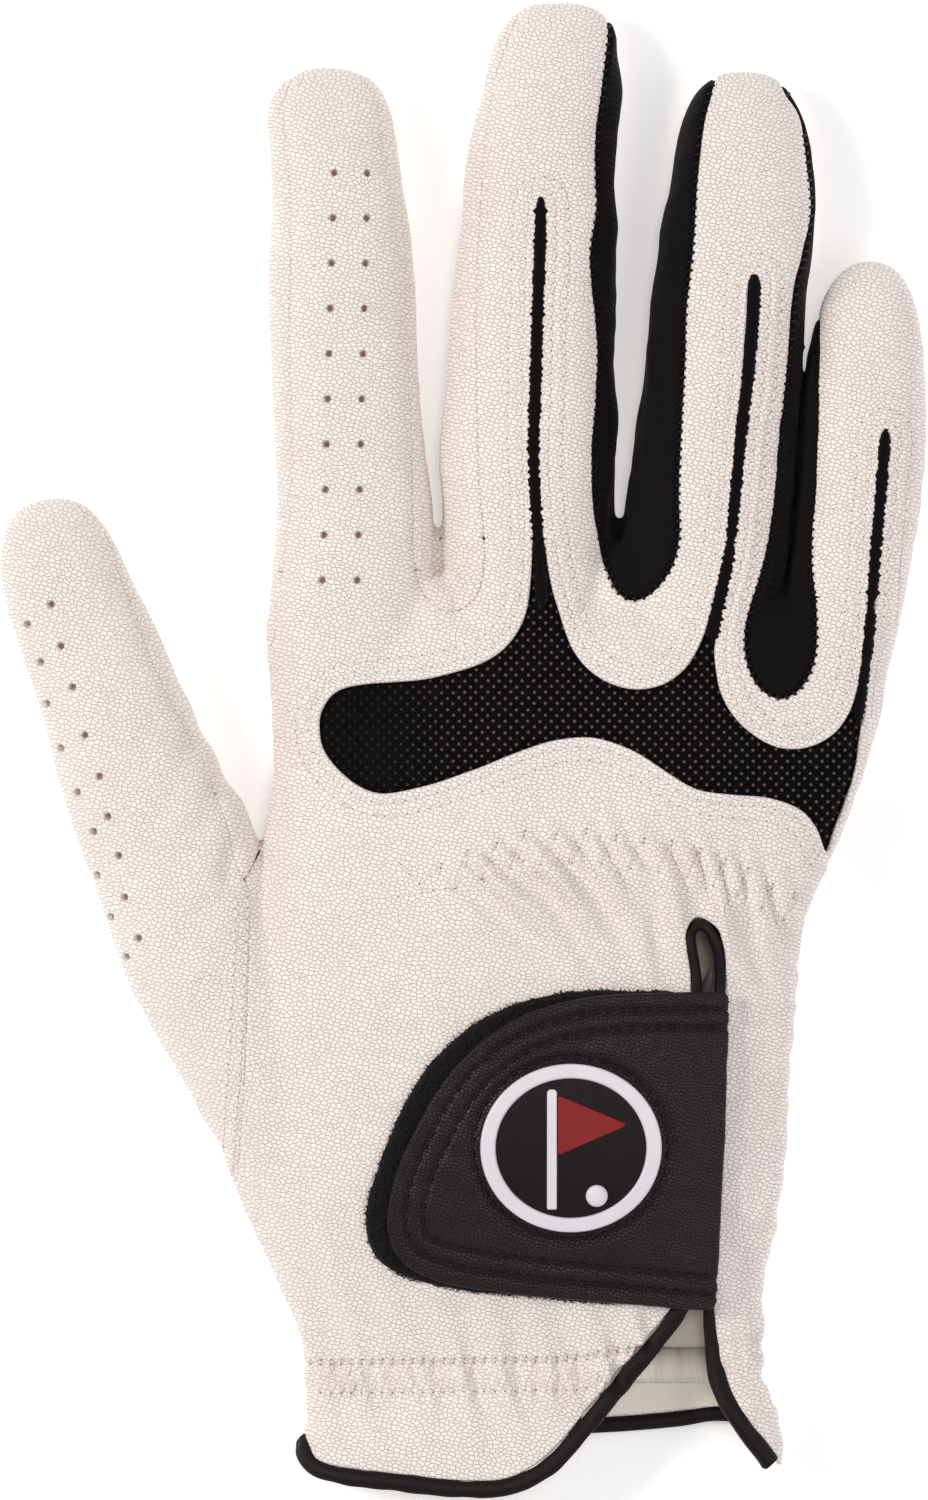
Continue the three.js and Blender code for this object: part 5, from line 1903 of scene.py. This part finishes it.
# --- cuff
class Cuff:
    """The bindings round the cuff and the elastics under the leather."""

    TAPE_SECTION = (20, 0.5)
    TAPE_HEIGHT = 1.75
    PALM_TAPE = (2.4, 1.9)
    ELASTIC_WIDTH, ELASTIC_THICK, ELASTIC_DEPTH = 5.6, 0.7, 2.3
    PALM_ELASTIC_X, PALM_ELASTIC_Y = (-17, 42.5), -96.4

    def __init__(self, form: GloveForm, drape: Drape) -> None:
        self.form = form
        self.drape = drape

    def build(self) -> None:
        """Builds the cuff's pieces."""
        self._binding("hem_tape", HEM_LINE.path(), 2.7, 2.5, ("hem_binding_back",))
        self._binding("vent_tape", VENT_LINE.path(), 2.8, 1.6, ("vent_binding", "lapel_binding"))
        self._palm_hem()
        self._elastic("knuckle_elastic_band", KNUCKLE_LINE, "knuckle_elastic")
        self._elastic("wrist_elastic_band", WRIST_LINE, "wrist_elastic_back")
        self._palm_elastic()

    def _binding(self, name: str, path: Array, low: float, high: float, nodes: tuple[str, ...]) -> None:
        """Folds a tape over an edge of the leather.

        Args:
            name: the piece's name.
            path: the tape's middle line, seen from above.
            low: its width at the hem.
            high: its width beside the closure.
            nodes: the CAD nodes that it stands for.
        """
        places, ups = eased(*self.drape.on(even(path, 0.5)), 6)
        wave = 0.08 * ripple(places, 5, 21)
        width = low + (high - low) * smooth_step(places[:, 1], -99, -89)
        tall = np.full(len(places), self.TAPE_HEIGHT) + wave
        solid = swept(places - ups * 0.35, ups, width + wave, tall, *self.TAPE_SECTION)
        add_piece(name, solid, TAPE, HAND, nodes)

    def _palm_hem(self) -> None:
        """The tape on the palm's hem, which lies on the table."""
        path = even(PALM_HEM_LINE.path(), 0.6)
        left, right = PALM.edges(path[:, 1])
        inset = np.minimum(path[:, 0] - left, right - path[:, 0])
        z = 1.05 + 3.2 * (1 - smooth_step(inset, -1, 6)) + 0.1 * np.cos(path[:, 0] * 1.3)
        places = np.column_stack([path, z])
        lean = 1 - smooth_step(inset, 0, 6)
        side = np.where(path[:, 0] < 10, -1.0, 1.0)
        ups = unit(np.column_stack([side * lean * 0.9, np.zeros(len(z)), 1.1 - lean]))
        width, tall = (np.full(len(places), size) for size in self.PALM_TAPE)
        solid = swept(places, ups, width, tall, *self.TAPE_SECTION)
        add_piece("palm_hem_tape", solid, TAPE, HAND, ("hem_binding_palm",))

    def _elastic(self, name: str, line: Line, node: str) -> None:
        """Lays a flat elastic under the leather of the back."""
        places, ups = Drape(self.form.plain).on(even(line.path(), 1.0))
        self._band(name, places - ups * self.ELASTIC_DEPTH, ups, node)

    def _palm_elastic(self) -> None:
        """The elastic inside the palm side of the cuff."""
        count, y = 120, self.PALM_ELASTIC_Y
        x = np.linspace(*self.PALM_ELASTIC_X, count)
        height = PALM.underside(x, y) + PANEL + 0.45 + 0.3 * np.cos(x * 2)
        places = np.column_stack([x, np.full(count, y), height])
        ups = np.tile([0.0, 0.0, 1.0], (count, 1))
        self._band("palm_elastic_band", places, ups, "wrist_elastic_palm")

    def _band(self, name: str, places: Array, ups: Array, node: str) -> None:
        """Makes one elastic along a path."""
        width, tall = (np.full(len(places), size) for size in (self.ELASTIC_WIDTH, self.ELASTIC_THICK))
        add_piece(name, swept(places, ups, width, tall), ELASTIC, HAND, (node,))


class SlitTrim:
    """The looped strips that show in the three long slits over the fingers."""

    PITCH = 0.25
    SLITS: dict[str, Points] = {
        "middle": (
            (11.9, 86), (11.9, 81), (11.5, 69), (11.1, 56), (10.8, 47), (11.2, 37.5), (11.7, 31),
            (12, 26), (12.2, 22),
        ),
        "ring": (
            (45.4, 74), (45.2, 68), (44.7, 62), (43.9, 55), (43.1, 48), (42.3, 40), (41.4, 31),
            (40.2, 25), (39.2, 20), (38.6, 16.4),
        ),
        "little": (
            (65.8, 50), (65.3, 44), (64.8, 37.5), (64.2, 31), (63.7, 24), (63, 16), (62.2, 9.5),
            (61.6, 4),
        ),
    }

    def __init__(self, drape: Drape) -> None:
        self.drape = drape

    def build(self) -> None:
        """Builds the part of each strip on the hand and the part on its finger."""
        for digit, corners in self.SLITS.items():
            path = even(curve_through(np.array(corners), False, 6), self.PITCH)
            zone = DIGITS[digit].zone(path)
            for body, mine in ((digit, zone <= 0.3), (HAND, zone > -0.3)):
                self._strip(f"{digit}_slit_trim_{body}", body, path[mine])

    def _strip(self, name: str, body: str, path: Array) -> None:
        """Makes one strip, with a knobbly surface and ragged sides."""
        places, ups = eased(*self.drape.on(path), 10)
        along = np.arange(len(places)) * self.PITCH
        knobs = np.cos(along * 2 * math.pi / 0.95) * 0.11 + 0.09 * ripple(places, 1.1, 31)
        full = np.clip(np.minimum(along, along[::-1]) / 1.5, 0.35, 1)
        solid = swept(places - ups * 0.3, ups, (2.0 + knobs * 2.6) * full, 1.1 + knobs, 10)
        add_piece(name, solid, TERRY, body)


# --- closure
def from_badge(xy: Array) -> Array:
    """The distance of each point from the badge's centre, where 1 is its edge."""
    return np.hypot(*((xy - BADGE_CENTRE) / BADGE_RADII).T)


def finer_at_badge(surface: Surface, reach: float, rounds: int) -> Surface:
    """Refines a surface under the badge.

    Args:
        surface: the surface.
        reach: how far from the badge's centre to refine, where 1 is its edge.
        rounds: how often to halve the edges.

    Returns:
        The finer surface.
    """
    for _ in range(rounds):
        surface = surface.refined((from_badge(surface.xy) < reach) & (surface.values["z"] > BACK_Z))
    return surface


class Closure:
    """The wrist closure: loop patch, hook pad, tab and badge."""

    PATCH_TOP = 0.95
    HOOK_TOP = 1.7
    TAB_TOP = 3.0
    TAB_THICK = 1.2
    TAB_PADDING = 0.5
    STITCH_MARGINS = (2.5, 5.3)
    STITCH_SINK = 0.36
    TUFTS = 2600
    LABEL_PATH = ((37.2, -38.6, 13.6), (37.7, -37.2, 14.6), (38.2, -35.8, 15.2), (38.5, -34.6, 15.3))

    def __init__(self, form: GloveForm) -> None:
        self.form = form

    def build(self) -> None:
        """Builds the closure."""
        plain = self.form.plain
        plain = plain.refined((plain.values["tab"] < 1) & (plain.values["z"] > BACK_Z))
        self.cover = self._tab_surface(finer_at_badge(plain, 1.12, 2))
        self._patch()
        self._hook_pad()
        self._tab()
        self._badge()
        self._label()

    def _patch(self) -> None:
        """The loop patch, with its tufts where the tab doesn't cover it."""
        skin = self.form.skin
        patch = skin.cut(np.maximum(skin.values["patch"] + 0.35, BACK_Z - skin.values["z"]))
        patch = patch.lifted(self.PATCH_TOP)
        add_piece("loop_pile", shell_of(patch, 0.85), PILE, HAND, ("loop_patch",))
        rng = np.random.default_rng(SEED)
        low, high = OUTLINES["patch"].path().min(0), OUTLINES["patch"].path().max(0)
        spots = rng.uniform(low - 0.4, high + 0.4, (self.TUFTS * 12, 2))
        inside, tab = OUTLINES["patch"].signed(spots), OUTLINES["tab"].signed(spots)
        spots = spots[(inside < 0.15) & (tab > -0.7) & (spots[:, 0] < 30)][: self.TUFTS]
        places, ups, met = Drape(patch).at(spots)
        edge = ~met
        fallback = Drape(skin).at(spots[edge])
        places[edge], ups[edge] = fallback[0] + fallback[1] * 0.5, fallback[1]
        angle = rng.uniform(0, 2 * math.pi, len(spots))
        reach = rng.uniform(0.3, 0.62, len(spots))
        step = np.column_stack([np.cos(angle) * reach, np.sin(angle) * reach, np.zeros(len(spots))])
        tufts = beads(places - step, places + step, ups, 0.075, 0.42, 0.1, 4)
        add_piece("loop_tufts", tufts, PILE, HAND)

    def _hook_pad(self) -> None:
        """The hook pad under the tab."""
        plain = self.form.plain
        pad = plain.cut(np.maximum(plain.values["hook"], BACK_Z - plain.values["z"]))
        solid = shell_of(pad.lifted(self.HOOK_TOP), 0.6)
        add_piece("hook_pad", solid, PILE, TAB, ("tab_hook_pad",))

    def _tab_surface(self, plain: Surface) -> Surface:
        """The tab's upper face, pressed in along its stitching and round the badge."""
        kept = plain.cut(np.maximum(plain.values["tab"] + 0.55, BACK_Z - plain.values["z"]))
        height = self.TAB_TOP + self.TAB_PADDING * smooth_step(-kept.values["tab"], 0, 9)
        free = np.abs(TAB_FREE_EDGE.locate(kept.xy)[0])
        near, far = self.STITCH_MARGINS
        height = height - self.STITCH_SINK * (bell(free - near, 0.6) + bell(free - far, 0.6))
        height = height - self.STITCH_SINK * bell((from_badge(kept.xy) - 1.09) * 13, 0.7)
        height = height + 0.1 * ripple(kept.points, 14, 41) + 0.05 * ripple(kept.points, 5, 42)
        return kept.lifted(height).reshaded()

    def _tab(self) -> None:
        """The leather tab and its stitching."""
        cover = shell_of(self.cover, self.TAB_THICK)
        add_piece("closure_cover", cover, BLACK_LEATHER, TAB, ("tab_cover",))
        work = Needlework("tab", Drape(self.cover), TAB_STITCH, TAB)
        for margin in self.STITCH_MARGINS:
            path = even(TAB_FREE_EDGE.path(), 0.4)
            ahead = unit(np.gradient(path, axis=0))
            moved = path + np.column_stack([-ahead[:, 1], ahead[:, 0]]) * margin
            gap = TAB_FREE_EDGE.locate(moved)[0]
            work.row(moved[(np.abs(gap - margin) < 0.12) & (OUTLINES["tab"].signed(moved) < -0.4)])
        turn = np.linspace(0, 2 * math.pi, 120)
        radii = np.array(BADGE_RADII) + 1.25
        work.row(np.column_stack([np.cos(turn), np.sin(turn)]) * radii + BADGE_CENTRE)
        work.build("black_leather")

    def _badge(self) -> None:
        """The moulded badge: a flag on its pin and a ball, on an oval."""
        face = finer_at_badge(self.form.plain, 1.1, 3)
        face = face.cut(np.maximum(from_badge(face.xy) - 1.1, (BACK_Z - face.values["z"]) / BACK_Z))
        face = face.lifted(self.TAB_TOP + self.TAB_PADDING)
        xy = face.xy
        oval = (from_badge(xy) - 1) * min(BADGE_RADII)
        rim = np.maximum(oval + 0.35, -(oval + 1.75))
        flag, pin = OUTLINES["pennant"].signed(xy) + 0.2, OUTLINES["pin"].signed(xy) + 0.12
        for name, level, rise, thickness, finish, slot, nodes in (
            ("base", oval + 0.35, 0.55, 0.9, BADGE_DARK, "badge_rubber", ("tab_badge",)),
            ("rim", rim, 1.05, 0.9, BADGE_WHITE, "badge_rubber", ()),
            ("pennant", flag, 0.95, 0.5, BADGE_RED, "emblem_rubber", ("badge_emblem",)),
            ("pin", pin, 0.95, 0.5, BADGE_WHITE, "badge_rubber", ()),
        ):
            solid = shell_of(face.cut(level).lifted(rise), thickness)
            add_piece(f"badge_{name}", solid, finish, TAB, nodes)
        ball = face.cut(np.hypot(*(xy - BALL_CENTRE).T) - BALL_RADIUS)
        bulge = np.maximum(BALL_RADIUS**2 - ((ball.xy - BALL_CENTRE) ** 2).sum(1), 0)
        ball = ball.lifted(0.75 + np.sqrt(bulge) * 0.45).reshaded()
        add_piece("badge_ball", shell_of(ball, 0.4), BADGE_WHITE, TAB, ())

    def _label(self) -> None:
        """A small plain label that peeps out at the top of the vent."""
        path = curve_through(np.array(self.LABEL_PATH), False, 4)
        ups = np.tile(unit(np.array([[-0.35, 0.2, 1.0]])), (len(path), 1))
        solid = swept(path, ups, np.linspace(2.6, 0.9, len(path)), np.full(len(path), 0.3))
        add_piece("size_label", solid, LABEL, HAND)


# --- studio
@dataclass(frozen=True)
class Softbox:
    """A large square lamp that points at the glove.

    Attributes:
        name: its name.
        place: where it stands, in metres.
        size: its side, in metres.
        power: its power in watts.
        tone: the light's colour.
    """

    name: str
    place: tuple[float, float, float]
    size: float
    power: float
    tone: str

    def build(self) -> None:
        """Adds the lamp."""
        lamp = bpy.data.lights.new(self.name, "AREA")
        lamp.shape, lamp.size, lamp.energy = "SQUARE", self.size, self.power
        lamp.color = linear(self.tone)[:3]
        made = bpy.data.objects.new(self.name, lamp)
        made.location = self.place
        made.rotation_euler = (-Vector(self.place)).to_track_quat("-Z", "Y").to_euler()
        made.visible_camera = False
        bpy.context.collection.objects.link(made)


@dataclass(frozen=True)
class Studio:
    """The floor, the lights and the camera.

    Attributes:
        floor_size: side of the floor, in metres.
        distance: height of the camera over the glove, in metres.
        view_height: length of floor that fills the view from top to bottom, in metres.
        sky: the colour of the light from all around.
        sky_strength: how strong that light is.
    """

    floor_size: float = 30.0
    distance: float = 2.5
    view_height: float = 0.2344
    sky: str = "#FBFAFC"
    sky_strength: float = 0.47
    lamps: tuple[Softbox, ...] = (
        Softbox("key_softbox", (-1.1, 0.3, 1.15), 0.4, 10.8, "#FFFAF4"),
        Softbox("top_softbox", (0.15, 0.1, 1.75), 0.3, 4.8, "#FFFBF6"),
        Softbox("fill_softbox", (1.1, -0.3, 1.2), 1.0, 4.4, "#FFFDFC"),
    )

    def build(self) -> None:
        """Builds the studio."""
        half = self.floor_size / 2
        mesh = bpy.data.meshes.new("studio_floor")
        corners = [(-half, -half, 0), (half, -half, 0), (half, half, 0), (-half, half, 0)]
        mesh.from_pydata(corners, [], [(0, 1, 2, 3)])
        mesh.materials.append(FLOOR.material())
        floor = bpy.data.objects.new("studio_floor", mesh)
        bpy.context.collection.objects.link(floor)
        for lamp in self.lamps:
            lamp.build()
        scene = bpy.context.scene
        scene.world = bpy.data.worlds.new("studio_light")
        scene.world.use_nodes = True
        light = scene.world.node_tree.nodes["Background"]
        light.inputs["Color"].default_value = linear(self.sky)
        light.inputs["Strength"].default_value = self.sky_strength
        scene.view_settings.view_transform = "Standard"
        camera = bpy.data.cameras.new("camera")
        camera.sensor_width = 36.0
        camera.lens = camera.sensor_width * self.distance / self.view_height
        camera.clip_end = 100.0
        eye = bpy.data.objects.new("camera", camera)
        eye.location = (0, 0, self.distance + 0.009)
        bpy.context.collection.objects.link(eye)
        scene.camera = eye


def main() -> None:
    """Builds the glove, then lights and frames it."""
    logging.basicConfig(level=logging.INFO, format="%(name)s: %(message)s")
    form = GloveForm()
    log.info("glove surface: %d points", len(form.skin.points))
    Panels(form).build()
    drape = Drape(form.skin)
    Sewing(drape).build()
    Cuff(form, drape).build()
    SlitTrim(drape).build()
    Closure(form).build()
    Studio().build()


if __name__ == "__main__":
    main()
